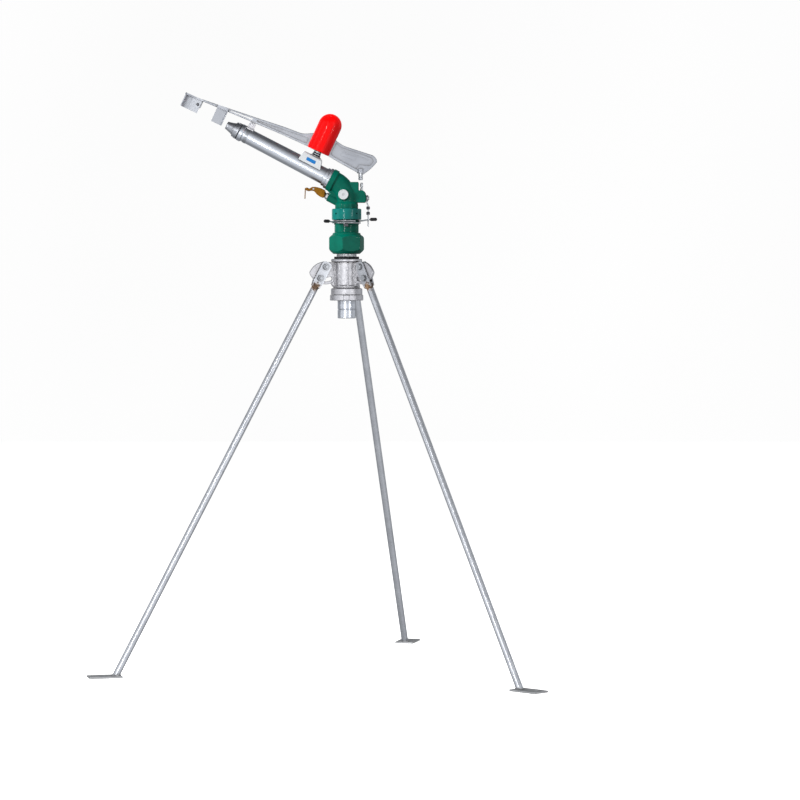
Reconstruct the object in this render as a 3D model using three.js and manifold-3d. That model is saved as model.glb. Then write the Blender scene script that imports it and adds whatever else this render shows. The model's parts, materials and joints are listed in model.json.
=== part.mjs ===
// A two-inch impact rain gun on a folding tripod stand.
// Millimetres, +Z up. The gun turns about a vertical axis and fires towards -X at rest.
import * as THREE from "three";
import { mergeVertices } from "three/addons/utils/BufferGeometryUtils.js";
import Module from "manifold-3d";

const wasm = await Module();
wasm.setup();

const degrees = THREE.MathUtils.degToRad;

// ---- Driving dimensions -------------------------------------------------------------------

const gap = 0.35; // running clearance between neighbouring pieces

// Stand
const legCount = 3;
const legSpread = 27.9; // degrees from the vertical, at the outer stop
const standTurn = 15.5; // degrees that the first leg is turned from the line of the gun
const pivotHeight = 1210; // leg pivot bolts above the ground
const pivotRadius = 65.5; // leg pivot bolts from the swivel axis
const legTubeRadius = 10.65; // half-inch galvanised pipe
const legTubeWall = 2.6;
const legTubeStart = 68; // from the pivot bolt down to the upper end of the pipe
const clampBoltReach = 38; // from the pivot bolt down to the clamp bolt
const foldRange = 50; // degrees of clamp slot
const footLength = 98;
const footWidth = 60;
const footThickness = 5;
const footHoleRadius = 6;
const footHoleInset = 22; // from the outer end of the plate
const footHeel = 18; // of the plate behind the end of the pipe
const earThickness = 10;
const strapThickness = 5;
const strapHalfWidth = 15.5;
const boltRadius = 5;
const boltHeadCorner = 9.2; // from the bolt's axis
const boltHeadHeight = 6.4;
const nutHeight = 8;

// Water column, heights above the ground
const headTop = 1225;
const headBottom = 1147;
const headRadius = 37.5;
const pipeRadius = 30.15; // two-inch pipe, outside
const waterRadius = 25;
const tailBottom = 1056;
const tailTop = 1118.1;
const tailRadius = 27.3; // outside, for a two-inch hose
const tailBore = 24;
const tailFlangeBottom = 1113.4;
const couplingFlangeRadius = 39;
const couplingRingBottom = 1109.5;
const couplingRingRadius = 50;
const adaptorBottom = 1121;
const adaptorTop = 1178;
const nippleBottom = 1182;
const nippleBore = 26.2;
const threadDepth = 41; // of the riser nipple in the inlet
const headPlateThickness = 9;
const headPlateRadius = 46.5;
const headGasketTop = 1241;
const inletBottom = 1249;
const inletShoulder = 1297;
const inletStep = 1312;
const collarSeatBottom = 1337;
const inletTop = 1350.5;
const hexagonTop = 1306;
const hexagonCorner = 55; // from the axis
const hexagonTurn = -11.7; // of the corner nearest the front
const sleeveBottom = 1351;
const sleeveTop = 1384;
const sleeveRadius = 44.25;
const spindleRadius = 28;
const bearingRadius = 34.3;
const neckRadius = 34.5;

// Barrel: distances are along the bore from the face of the elbow flange
const barrelAngle = 27.6; // trajectory above the horizontal
const flangeFace = new THREE.Vector3(-49.5, 0, 1472.5);
const barrelLength = 299;
const barrelRearRadius = 25.3;
const barrelFrontRadius = 23;
const barrelWall = 3;
const elbowRadius = 30.5;
const elbowBend = 60;
const holderRear = 292.6;
const holderFront = 305.4;
const holderRadius = 26.2;
const nozzleRear = 307.7;
const nozzleFront = 349;
const outletRadius = 9;

// Rocker arm: its frame has Z up along the arm pin and X along the arm, towards the tail
const armTilt = 25; // the arm pin leans this far towards the tail
const armPivot = new THREE.Vector3(-84.9, 0, 1556.5);
const armWidth = 12;
const webThickness = 5;
const pinRadius = 6;
const hubHalf = 28.5; // the yoke round the arm pin
const hubTop = 85;
const bushRadius = 9;
const tailPinRadius = 6.5;
const seatWasherRadius = 13;
const capRadius = 35;
const capHeight = 119;

// Reversing gear
const reverserHeight = 1416;
const pawlShaftRadius = 5;
const pawlLeverX = 45;
const tripRodX = 64.5;
const tripRodBottom = 1330;

// Stop collars: the angle of each finger about the swivel axis, and the height of its ring
const collarFingers = [
  { angle: -30, height: 1347.4 },
  { angle: -128, height: 1341.6 },
];
const collarRadius = 40.7;
const collarWire = 2.25;
const fingerReach = 104;
const gripLength = 20;

// ---- Materials ----------------------------------------------------------------------------

const finish = (color, roughness, metalness) =>
  new THREE.MeshStandardMaterial({ color, roughness, metalness });
const galvanised = finish(0xa9adb0, 0.45, 0.9);
const castAluminium = finish(0xa5a6a6, 0.6, 0.8);
const armAluminium = finish(0xb4b6bc, 0.5, 0.8);
const polishedAluminium = finish(0xc4c7cc, 0.25, 0.95);
const zincSteel = finish(0xb9bbbd, 0.35, 0.95);
const greenEnamel = finish(0x006249, 0.3, 0.1);
const redPlastic = finish(0xe30b13, 0.25, 0.0);
const brass = finish(0xb47a1e, 0.35, 0.9);
const blackRubber = finish(0x1b1b1c, 0.7, 0.0);
const sealPlastic = finish(0xe4e1d6, 0.5, 0.0);
const whiteEnamel = finish(0xe9ebee, 0.4, 0.1);

// ---- Solids -------------------------------------------------------------------------------

// A geometry as a manifold solid with its faces pointing out.
function solidOf(geometry) {
  const bare = geometry.clone();
  bare.deleteAttribute("normal");
  bare.deleteAttribute("uv");
  const merged = mergeVertices(bare, 1e-4);
  const vertProperties = merged.attributes.position.array;
  const triVerts = new Uint32Array(merged.index.array);
  const solid = new wasm.Manifold(new wasm.Mesh({ numProp: 3, vertProperties, triVerts }));
  if (solid.volume() >= 0) return solid;
  for (let i = 0; i < triVerts.length; i += 3) {
    [triVerts[i], triVerts[i + 1]] = [triVerts[i + 1], triVerts[i]];
  }
  return new wasm.Manifold(new wasm.Mesh({ numProp: 3, vertProperties, triVerts }));
}

function geometryOf(solid) {
  const mesh = solid.getMesh();
  const geometry = new THREE.BufferGeometry();
  geometry.setAttribute("position", new THREE.BufferAttribute(mesh.vertProperties, 3));
  geometry.setIndex(new THREE.BufferAttribute(mesh.triVerts, 1));
  geometry.computeVertexNormals();
  return geometry;
}

const join = (first, ...others) =>
  geometryOf(others.reduce((sum, other) => sum.add(solidOf(other)), solidOf(first)));

const cut = (body, ...tools) =>
  geometryOf(tools.reduce((rest, tool) => rest.subtract(solidOf(tool)), solidOf(body)));

const common = (one, other) => geometryOf(solidOf(one).intersect(solidOf(other)));

// A solid of revolution about Z from [radius, height] points.
// The profile starts and ends on the axis, or closes on itself.
function turned(profile, segments = 24) {
  const points = profile.map(([radius, height]) => new THREE.Vector2(radius, height));
  return new THREE.LatheGeometry(points, segments).rotateX(Math.PI / 2);
}

const rod = (radius, from, to, segments = 20) =>
  turned([[0, from], [radius, from], [radius, to], [0, to]], segments);

const ring = (inner, outer, from, to, segments = 20) =>
  turned([[inner, from], [outer, from], [outer, to], [inner, to], [inner, from]], segments);

// A cylinder along Y, for bolts and holes through plates.
function crossRod(radius, x, z, from, to, segments = 20) {
  const geometry = new THREE.CylinderGeometry(radius, radius, to - from, segments);
  return geometry.translate(x, (from + to) / 2, z);
}

// A cylinder along X.
function longRod(radius, z, from, to, segments = 24) {
  const geometry = new THREE.CylinderGeometry(radius, radius, to - from, segments);
  return geometry.rotateZ(Math.PI / 2).translate((from + to) / 2, 0, z);
}

function block(x0, x1, y0, y1, z0, z1) {
  const geometry = new THREE.BoxGeometry(x1 - x0, y1 - y0, z1 - z0);
  return geometry.translate((x0 + x1) / 2, (y0 + y1) / 2, (z0 + z1) / 2);
}

// A closed outline through [x, y, setback] corners: a setback rounds its corner.
function outline(corners) {
  const shape = new THREE.Shape();
  const count = corners.length;
  corners.forEach(([x, y, setback = 0], i) => {
    const corner = new THREE.Vector2(x, y);
    const before = new THREE.Vector2(...corners[(i + count - 1) % count]);
    const after = new THREE.Vector2(...corners[(i + 1) % count]);
    const start = before.sub(corner).setLength(setback).add(corner);
    const end = after.sub(corner).setLength(setback).add(corner);
    if (i === 0) shape.moveTo(start.x, start.y);
    else shape.lineTo(start.x, start.y);
    if (setback) shape.quadraticCurveTo(x, y, end.x, end.y);
  });
  shape.closePath();
  return shape;
}

// A plate whose outline lies in XZ, between two values of Y.
function sidePlate(shape, from, to, curveSegments = 3) {
  const settings = { depth: to - from, bevelEnabled: false, curveSegments };
  return new THREE.ExtrudeGeometry(shape, settings).rotateX(Math.PI / 2).translate(0, to, 0);
}

// A plate whose outline lies in XY, between two heights.
function planPlate(shape, from, to, curveSegments = 3) {
  const settings = { depth: to - from, bevelEnabled: false, curveSegments };
  return new THREE.ExtrudeGeometry(shape, settings).translate(0, 0, from);
}

// A round bar along a curve.
function bar(curve, radius, steps, sides = 8) {
  const circle = new THREE.Shape();
  for (let i = 0; i < sides; i++) {
    const angle = (i / sides) * 2 * Math.PI;
    const point = [radius * Math.cos(angle), radius * Math.sin(angle)];
    if (i === 0) circle.moveTo(...point);
    else circle.lineTo(...point);
  }
  circle.closePath();
  return new THREE.ExtrudeGeometry(circle, { steps, bevelEnabled: false, extrudePath: curve });
}

// A hexagon-headed bolt along Y with its nut, tightened over a grip from -half to +half.
function boltWithNut(half) {
  const hexagon = (height) =>
    new THREE.CylinderGeometry(boltHeadCorner, boltHeadCorner, height, 6);
  const head = hexagon(boltHeadHeight).translate(0, -half - boltHeadHeight / 2, 0);
  const nut = hexagon(nutHeight).translate(0, half + nutHeight / 2, 0);
  return join(crossRod(boltRadius, 0, 0, -half - 3, half + nutHeight + 4, 12), head, nut);
}

function piece(group, name, geometry, material) {
  const mesh = new THREE.Mesh(geometryOf(solidOf(geometry)), material);
  mesh.name = name;
  group.add(mesh);
  return mesh;
}

function frameAt(parent, position, tiltY = 0) {
  const group = new THREE.Group();
  group.position.copy(position);
  group.rotation.y = degrees(tiltY);
  parent.add(group);
  return group;
}

// ---- Stand --------------------------------------------------------------------------------

const sprinkler = new THREE.Group();

// One ear of the head, in the plane of its leg: X outwards, Z up.
function headEar() {
  const reach = 52; // the rim below the pivot is an arc about it, which the leg's clevis follows
  const shape = new THREE.Shape();
  shape.moveTo(headRadius - 6, headTop);
  shape.lineTo(pivotRadius + 10, headTop);
  shape.quadraticCurveTo(pivotRadius + 34, headTop - 4, pivotRadius + 48, pivotHeight - 14);
  shape.absarc(pivotRadius, pivotHeight, reach, degrees(-20), degrees(-105), true);
  shape.lineTo(headRadius - 6, pivotHeight - reach + 4);
  shape.closePath();
  const slot = new THREE.Shape();
  const slotHalf = boltRadius + 0.6;
  const outerEnd = degrees(-90 + legSpread + 1);
  const innerEnd = degrees(-90 + legSpread - foldRange);
  slot.absarc(pivotRadius, pivotHeight, clampBoltReach + slotHalf, outerEnd, innerEnd, true);
  slot.absarc(pivotRadius, pivotHeight, clampBoltReach - slotHalf, innerEnd, outerEnd, false);
  slot.closePath();
  const slotEnds = [outerEnd, innerEnd].map((angle) =>
    crossRod(
      slotHalf,
      pivotRadius + clampBoltReach * Math.cos(angle),
      pivotHeight + clampBoltReach * Math.sin(angle),
      -earThickness,
      earThickness,
      12,
    ),
  );
  return cut(
    sidePlate(shape, -earThickness / 2, earThickness / 2, 6),
    sidePlate(slot, -earThickness, earThickness, 5),
    ...slotEnds,
    crossRod(boltRadius + 0.6, pivotRadius, pivotHeight, -earThickness, earThickness, 16),
  );
}

function makeHead(stand) {
  const ears = [];
  for (let i = 0; i < legCount; i++) {
    ears.push(headEar().rotateZ(degrees(180 + standTurn + (i * 360) / legCount)));
  }
  const barrelBody = turned([
    [0, headBottom],
    [headRadius + 3, headBottom],
    [headRadius + 3, headBottom + 5],
    [headRadius, headBottom + 9],
    [headRadius, headTop],
    [0, headTop],
  ]);
  const bore = rod(pipeRadius + gap, headBottom - 1, headTop + 1, 24);
  piece(stand, "tripod_head", cut(join(barrelBody, ...ears), bore), castAluminium);

  const inner = pipeRadius + gap;
  const plateTop = headTop + headPlateThickness;
  const plate = ring(inner, headPlateRadius, headTop + 0.3, plateTop);
  piece(stand, "head_flange", plate, castAluminium);
  const gasket = ring(inner, headRadius, plateTop + 0.3, headGasketTop);
  piece(stand, "head_gasket", gasket, blackRubber);
  const nipple = ring(nippleBore, pipeRadius, nippleBottom, inletBottom + threadDepth);
  piece(stand, "riser_nipple", nipple, galvanised);
}

function makeCoupling(stand) {
  const adaptor = turned([
    [waterRadius, adaptorBottom],
    [couplingFlangeRadius + 0.5, adaptorBottom],
    [couplingFlangeRadius + 0.5, adaptorBottom + 6],
    [47.2, adaptorBottom + 6],
    [47.2, headBottom - 3],
    [43, headBottom - 0.4],
    [pipeRadius, headBottom - 0.4],
    [pipeRadius, adaptorTop],
    [waterRadius, adaptorTop],
    [waterRadius, adaptorBottom],
  ]);
  piece(stand, "coupling_adaptor", adaptor, castAluminium);
  const gasket = ring(waterRadius + 1, couplingFlangeRadius, tailTop + 0.3, adaptorBottom - 0.3);
  piece(stand, "coupling_gasket", gasket, blackRubber);

  const tail = turned([
    [tailBore, tailBottom],
    [tailRadius - 1.3, tailBottom],
    [tailRadius, tailBottom + 2],
    [tailRadius, tailBottom + 25.5],
    [tailRadius - 1.3, tailBottom + 27],
    [tailRadius, tailBottom + 28.5],
    [tailRadius, tailFlangeBottom],
    [couplingFlangeRadius, tailFlangeBottom],
    [couplingFlangeRadius, tailTop],
    [tailBore, tailTop],
    [tailBore, tailBottom],
  ]);
  piece(stand, "hose_tail", tail, polishedAluminium);

  const lugs = [];
  for (let i = 0; i < 3; i++) {
    const lug = block(46, 52.3, -9, 9, couplingRingBottom + 1, couplingRingBottom + 16);
    lugs.push(lug.rotateZ(degrees(30 + i * 120)));
  }
  const body = turned([
    [tailRadius + 0.7, couplingRingBottom],
    [couplingRingRadius - 1.5, couplingRingBottom],
    [couplingRingRadius, couplingRingBottom + 1.5],
    [couplingRingRadius, adaptorBottom + 4],
    [couplingRingRadius - 1.5, adaptorBottom + 5.6],
    [couplingFlangeRadius + 1.5, adaptorBottom + 5.6],
    [couplingFlangeRadius + 1.5, tailFlangeBottom - 0.3],
    [tailRadius + 0.7, tailFlangeBottom - 0.3],
    [tailRadius + 0.7, couplingRingBottom],
  ]);
  piece(stand, "coupling_ring", join(body, ...lugs), castAluminium);
}

// The parts of one leg that lie along it: the pivot bolt at the origin, -Z down the leg.
function makeClevis() {
  const outer = earThickness / 2 + 0.4 + strapThickness;
  const inner = earThickness / 2 + 0.4;
  const strap = outline([
    [-strapHalfWidth, 15, 12],
    [strapHalfWidth, 15, 12],
    [strapHalfWidth, -50],
    [legTubeRadius + 1, -legTubeStart + gap],
    [-legTubeRadius - 1, -legTubeStart + gap],
    [-strapHalfWidth, -50],
  ]);
  const slit = block(-20, 20, -inner, inner, -54.5, 20);
  const spigot = rod(legTubeRadius - legTubeWall - gap, -legTubeStart - 26, -legTubeStart + 2, 12);
  return cut(
    join(sidePlate(strap, -outer, outer), spigot),
    slit,
    crossRod(boltRadius + 0.5, 0, 0, -20, 20, 12),
    crossRod(boltRadius + 0.5, 0, -clampBoltReach, -20, 20, 12),
  );
}

// The pipe, mitred to stand level on the foot plate.
function makeLegTube() {
  const spread = degrees(legSpread);
  const tube = ring(legTubeRadius - legTubeWall, legTubeRadius, -pivotHeight, -legTubeStart, 16);
  const position = tube.getAttribute("position");
  const footDrop = footThickness + 0.3 - pivotHeight;
  for (let i = 0; i < position.count; i++) {
    if (position.getZ(i) > -legTubeStart - 1) continue;
    const mitred = (footDrop - position.getX(i) * Math.sin(spread)) / Math.cos(spread);
    position.setZ(i, mitred);
  }
  return tube;
}

// The foot plate lies flat on the ground, outwards from the end of the pipe.
function makeFoot() {
  const landing = pivotRadius + pivotHeight * Math.tan(degrees(legSpread));
  const inner = landing - footHeel;
  const outer = inner + footLength;
  const half = footWidth / 2;
  const shape = outline([[inner, -half, 3], [outer, -half, 3], [outer, half, 3], [inner, half, 3]]);
  const hole = rod(footHoleRadius, -1, footThickness + 1, 12).translate(outer - footHoleInset, 0, 0);
  return cut(planPlate(shape, 0, footThickness), hole);
}

function makeLeg(stand, index) {
  const turn = new THREE.Group();
  turn.rotation.z = degrees(180 + standTurn + ((index - 1) * 360) / legCount);
  stand.add(turn);
  const leg = frameAt(turn, new THREE.Vector3(pivotRadius, 0, pivotHeight), -legSpread);
  const grip = earThickness / 2 + 0.4 + strapThickness + 0.4;
  piece(leg, `leg_${index}_pivot_bolt`, boltWithNut(grip), zincSteel);
  const clampBolt = boltWithNut(grip).translate(0, 0, -clampBoltReach);
  piece(leg, `leg_${index}_clamp_bolt`, clampBolt, zincSteel);
  piece(leg, `leg_${index}_clevis`, makeClevis(), galvanised);
  piece(leg, `leg_${index}_tube`, makeLegTube(), galvanised);
  piece(turn, `leg_${index}_foot`, makeFoot(), galvanised);
}

// ---- Swivel base --------------------------------------------------------------------------

function makeInlet(stand) {
  const neck = turned([
    [0, inletShoulder - 4],
    [39, inletShoulder - 4],
    [42, inletShoulder],
    [42, inletStep - 2],
    [40, inletStep],
    [35.25, inletStep],
    [35.25, collarSeatBottom - 2],
    [38, collarSeatBottom],
    [38, inletTop],
    [0, inletTop],
  ]);
  const hexagonHeight = hexagonTop - inletBottom;
  const hexagon = new THREE.CylinderGeometry(hexagonCorner, hexagonCorner, hexagonHeight, 6);
  hexagon.rotateX(Math.PI / 2).rotateZ(degrees(hexagonTurn));
  hexagon.translate(0, 0, inletBottom + hexagonHeight / 2);
  const chamfer = turned([
    [0, inletBottom],
    [40, inletBottom],
    [hexagonCorner + 0.1, inletBottom + 14],
    [hexagonCorner + 0.1, inletShoulder],
    [43.5, hexagonTop],
    [0, hexagonTop],
  ]);
  const body = join(common(hexagon, chamfer), neck);
  const pipeThread = rod(pipeRadius + gap, inletBottom - 1, inletBottom + threadDepth + 1, 24);
  const waterway = rod(waterRadius, inletBottom, inletTop, 24);
  const spindleBore = rod(spindleRadius + gap, inletShoulder + 2, inletTop + 1, 24);
  piece(stand, "inlet_body", cut(body, pipeThread, waterway, spindleBore), greenEnamel);

  const lipTop = sleeveBottom + 7.3;
  const flangeBottom = lipTop + 3.6;
  const flangeTop = flangeBottom + 6.6;
  const spindle = turned([
    [23, inletShoulder + 2.4],
    [spindleRadius, inletShoulder + 2.4],
    [spindleRadius, flangeBottom],
    [bearingRadius, flangeBottom],
    [bearingRadius, flangeTop],
    [23, flangeTop],
    [23, inletShoulder + 2.4],
  ]);
  piece(stand, "spindle", spindle, zincSteel);
  const washer = ring(spindleRadius + 0.6, bearingRadius, lipTop + 0.3, flangeBottom - 0.3);
  piece(stand, "thrust_washer", washer, sealPlastic);
  const seal = ring(waterRadius, bearingRadius, flangeTop + 0.3, flangeTop + 3.5);
  piece(stand, "pressure_seal", seal, blackRubber);
}

// A wire ring round the neck: its finger stands outwards, and its other end turns down.
function collarPath(angle, height) {
  const at = (turn, radius, z) => {
    const a = degrees(angle + turn);
    return new THREE.Vector3(radius * Math.cos(a), radius * Math.sin(a), z);
  };
  const points = [at(0, fingerReach, height + 4), at(0, 75, height + 3), at(0, 52, height)];
  for (let turn = 8; turn <= 330; turn += 14) {
    points.push(at(turn, collarRadius, height));
  }
  points.push(at(338, collarRadius + 4, height - 0.5));
  return new THREE.CatmullRomCurve3(points, false, "centripetal");
}

function makeCollar(stand, index) {
  const { angle, height } = collarFingers[index - 1];
  const wire = bar(collarPath(angle, height), collarWire, 48, 6);
  const inGrip = fingerReach - gripLength - 0.3;
  const trimmed = cut(wire, block(inGrip, 200, -20, 20, 1300, 1400).rotateZ(degrees(angle)));
  piece(stand, `stop_collar_${index}`, trimmed, zincSteel);
  const z = height + 4;
  const grip = longRod(5, z, fingerReach - gripLength, fingerReach, 16).rotateZ(degrees(angle));
  piece(stand, `stop_grip_${index}`, grip, blackRubber);
}

// ---- Swivelling body ----------------------------------------------------------------------

// The elbow's centre line: out of the barrel flange, round the bend, and down to the sleeve.
class ElbowLine extends THREE.Curve {
  constructor(bottom) {
    super();
    const slope = degrees(barrelAngle);
    const turn = Math.PI / 2 - slope;
    const along = -flangeFace.x / Math.cos(slope);
    this.turn = turn;
    this.along = new THREE.Vector3(Math.cos(slope), 0, -Math.sin(slope));
    this.tangent = elbowBend * Math.tan(turn / 2);
    this.lead = along - this.tangent;
    this.bendEnd = flangeFace.z - along * Math.sin(slope) - this.tangent;
    this.drop = this.bendEnd - bottom;
    this.total = this.lead + elbowBend * turn + this.drop;
  }

  getPoint(t, target = new THREE.Vector3()) {
    const s = t * this.total;
    const afterBend = s - this.lead - elbowBend * this.turn;
    if (s <= this.lead) return target.copy(flangeFace).addScaledVector(this.along, s);
    if (afterBend >= 0) return target.set(0, 0, this.bendEnd - afterBend);
    const angle = this.turn - (s - this.lead) / elbowBend;
    const x = elbowBend * (Math.cos(angle) - 1);
    return target.set(x, 0, this.bendEnd + elbowBend * Math.sin(angle));
  }
}

// Places a geometry made along Z so that it runs along the barrel, from the flange face.
function alongBarrel(geometry) {
  const { x, z } = flangeFace;
  return geometry.rotateY(degrees(barrelAngle - 90)).translate(x, 0, z);
}

const spreaderBoss = { x: -55.5, z: 1420, radius: 13, depth: 36 };

function makeElbow(gun) {
  const bottom = sleeveTop - 11.7;
  const line = new ElbowLine(bottom + 10);
  const waterLine = new ElbowLine(bottom - 20);
  const reverserBack = outline([
    [0, 1402, 0],
    [58, 1402, 4],
    [58, 1431, 4],
    [50, 1439, 4],
    [36.5, 1439, 0],
    [36.5, 1464, 4],
    [12, 1464, 4],
    [0, 1450, 0],
  ]);
  // Fills the corner between the barrel flange and the spreader's boss.
  const cornerWeb = outline([
    [-62, 1443, 2],
    [-53.5, 1433.5, 2],
    [-49, 1426],
    [-20, 1412],
    [-20, 1445],
    [-44, 1452],
  ]);
  const spreader = rod(spreaderBoss.radius, -spreaderBoss.depth, 0, 28)
    .rotateY(degrees(barrelAngle - 90))
    .translate(spreaderBoss.x, 0, spreaderBoss.z);
  const spreaderHole = rod(7.4, -spreaderBoss.depth, 1, 20)
    .rotateY(degrees(barrelAngle - 90))
    .translate(spreaderBoss.x, 0, spreaderBoss.z);
  const shell = join(
    bar(line, elbowRadius, 8, 20),
    turned([
      [0, bottom],
      [neckRadius, bottom],
      [neckRadius, sleeveTop + 14],
      [elbowRadius, sleeveTop + 20],
      [0, sleeveTop + 20],
    ]),
    alongBarrel(rod(34, -16, -0.3, 24)),
    sidePlate(reverserBack, -18, 18),
    sidePlate(cornerWeb, -11, 11),
    crossRod(17.5, -9, 1426, -33.5, 0, 20),
    spreader,
  );
  const hollow = [
    bar(waterLine, waterRadius - 1, 8, 16),
    rod(waterRadius - 1, bottom - 1, bottom + 20, 16),
    alongBarrel(rod(waterRadius - 1, -12, 1, 16)),
    spreaderHole,
    longRod(pawlShaftRadius + gap, reverserHeight, 34, 60, 20),
    block(38.5, 51.5, -13.5, 13.5, 1406, 1445),
  ];
  piece(gun, "elbow", cut(shell, ...hollow), greenEnamel);
  piece(gun, "side_plug", crossRod(15, -9, 1426, -36.5, -33.9, 20), whiteEnamel);

  const sleeve = turned([
    [spindleRadius + 0.7, sleeveBottom],
    [sleeveRadius - 1.5, sleeveBottom],
    [sleeveRadius, sleeveBottom + 1.5],
    [sleeveRadius, sleeveTop - 2],
    [sleeveRadius - 2, sleeveTop],
    [neckRadius + gap, sleeveTop],
    [neckRadius + gap, sleeveBottom + 7.3],
    [spindleRadius + 0.7, sleeveBottom + 7.3],
    [spindleRadius + 0.7, sleeveBottom],
  ]);
  piece(gun, "swivel_sleeve", sleeve, greenEnamel);
}

// The small nozzle that waters the ground near the gun, and its bent deflector.
function makeSpreader(gun) {
  const place = new THREE.Vector3(spreaderBoss.x, 0, spreaderBoss.z);
  const spreader = frameAt(gun, place, barrelAngle - 90);
  const nozzle = turned([
    [3.5, -14],
    [7, -14],
    [7, 0.4],
    [10.5, 0.4],
    [10.5, 7],
    [7.5, 8],
    [6.2, 34],
    [3.5, 34],
    [3.5, -14],
  ], 20);
  piece(spreader, "spreader_nozzle", nozzle, brass);
  // Two cheeks beside the nozzle, joined over its top, with a plate hanging in front of the jet.
  const upperEdge = [
    [-63.5, 1439],
    [-76.5, 1445.5],
    [-91.5, 1449.4],
    [-103.5, 1449.4],
    [-111, 1443.5],
    [-117, 1447.6],
    [-123, 1446.4],
  ];
  const lowerEdge = [
    [-123, 1440],
    [-114, 1436.5],
    [-105, 1438.5],
    [-97.5, 1437],
    [-90, 1428],
    [-79.5, 1420],
    [-68.5, 1416.5],
  ];
  const cheekInner = 9.3;
  const cheekOuter = 12;
  const cheek = outline([...upperEdge, ...lowerEdge]);
  const crownThickness = 3.2;
  const crownUnder = upperEdge.map(([x, z]) => [x - 0.8, z - crownThickness]).reverse();
  const crown = outline([...upperEdge, ...crownUnder]);
  const hook = outline([[-122, 1446], [-124.6, 1446], [-126, 1414], [-123.4, 1414]]);
  const ontoNozzle = (geometry) =>
    geometry
      .rotateY(degrees(barrelAngle - 90))
      .translate(spreaderBoss.x, 0, spreaderBoss.z);
  const bracket = cut(
    join(
      sidePlate(crown, -cheekOuter, cheekOuter),
      sidePlate(cheek, -cheekOuter, -cheekInner),
      sidePlate(cheek, cheekInner, cheekOuter),
      sidePlate(hook, -9, 9),
      ontoNozzle(ring(7.9, 10.4, 12, 18, 20)),
    ),
    ontoNozzle(rod(7.9, -5, 40, 20)),
  );
  piece(gun, "spreader_deflector", bracket, brass);
}

// The barrel's parts are modelled along Z from the flange face, with X upwards.
function makeBarrel(gun) {
  const frame = frameAt(gun, flangeFace, barrelAngle - 90);
  const radiusAt = (z) =>
    THREE.MathUtils.mapLinear(z, 0, barrelLength, barrelRearRadius, barrelFrontRadius);
  const tube = turned([
    [barrelRearRadius - barrelWall, 0.3],
    [barrelRearRadius, 0.3],
    [barrelFrontRadius, barrelLength],
    [barrelFrontRadius - barrelWall, barrelLength],
    [barrelRearRadius - barrelWall, 0.3],
  ]);
  piece(frame, "barrel", tube, polishedAluminium);
  const flange = turned([
    [barrelRearRadius + gap, 0.3],
    [32, 0.3],
    [32, 8],
    [28.6, 9.5],
    [28.6, 18],
    [barrelRearRadius + gap, 18],
    [barrelRearRadius + gap, 0.3],
  ]);
  piece(frame, "barrel_flange", flange, polishedAluminium);

  const vane = (turn) => block(-18.5, 18.5, -0.8, 0.8, 24, 104).rotateZ(degrees(turn));
  const straightener = join(vane(0), vane(60), vane(120), rod(3, 24, 104, 12));
  piece(frame, "stream_straightener", straightener, sealPlastic);

  const holderBore = radiusAt(292) + gap;
  const holder = turned([
    [holderBore, holderRear],
    [holderRadius - 1.4, holderRear],
    [holderRadius, holderRear + 1.4],
    [holderRadius, holderFront - 1.4],
    [holderRadius - 1, holderFront],
    [20.5, holderFront],
    [20.5, barrelLength + 0.4],
    [holderBore, barrelLength + 0.4],
    [holderBore, holderRear],
  ]);
  piece(frame, "nozzle_holder", holder, polishedAluminium);
  const gasket = ring(20.5, 24.6, holderFront + 0.4, nozzleRear - 0.4);
  piece(frame, "nozzle_gasket", gasket, blackRubber);
  const nutRidges = [];
  for (let i = 0; i < 8; i++) {
    const ridge = block(22, 25.9, -2.2, 2.2, nozzleRear + 1.3, nozzleRear + 10.3);
    nutRidges.push(ridge.rotateZ(degrees(22.5 + i * 45)));
  }
  const nut = turned([
    [20.9, nozzleRear],
    [25, nozzleRear],
    [25, nozzleRear + 4.3],
    [22.6, nozzleRear + 15.3],
    [19, nozzleRear + 15.3],
    [20.9, nozzleRear + 8.3],
    [20.9, nozzleRear],
  ]);
  piece(frame, "nozzle_nut", join(nut, ...nutRidges), polishedAluminium);
  const nozzle = turned([
    [17.5, nozzleRear],
    [20.5, nozzleRear],
    [20.5, nozzleRear + 7.9],
    [18.6, nozzleRear + 15.1],
    [18.6, nozzleRear + 17.3],
    [11.2, nozzleFront],
    [outletRadius, nozzleFront],
    [outletRadius, nozzleFront - 5],
    [17.5, nozzleRear],
  ]);
  piece(frame, "nozzle", nozzle, polishedAluminium);
  makeAnvil(frame, radiusAt(280));
  makeArmSeat(frame);
}

// The anvil stops the arm's striker on its way back.
function makeAnvil(frame, barrelRadius) {
  const foot = common(
    block(0, 30, -14, 14, 269, 292),
    ring(barrelRadius + 0.5, barrelRadius + 4, 260, 300),
  );
  const pad = block(barrelRadius - 1, 42.5, -12.4, -6.5, 271, 290);
  const barrelRoom = rod(barrelRadius + 0.4, 250, 310, 24);
  piece(frame, "anvil", cut(join(foot, pad), barrelRoom), castAluminium);
}

const seatTop = -16; // in the arm's frame

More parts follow.
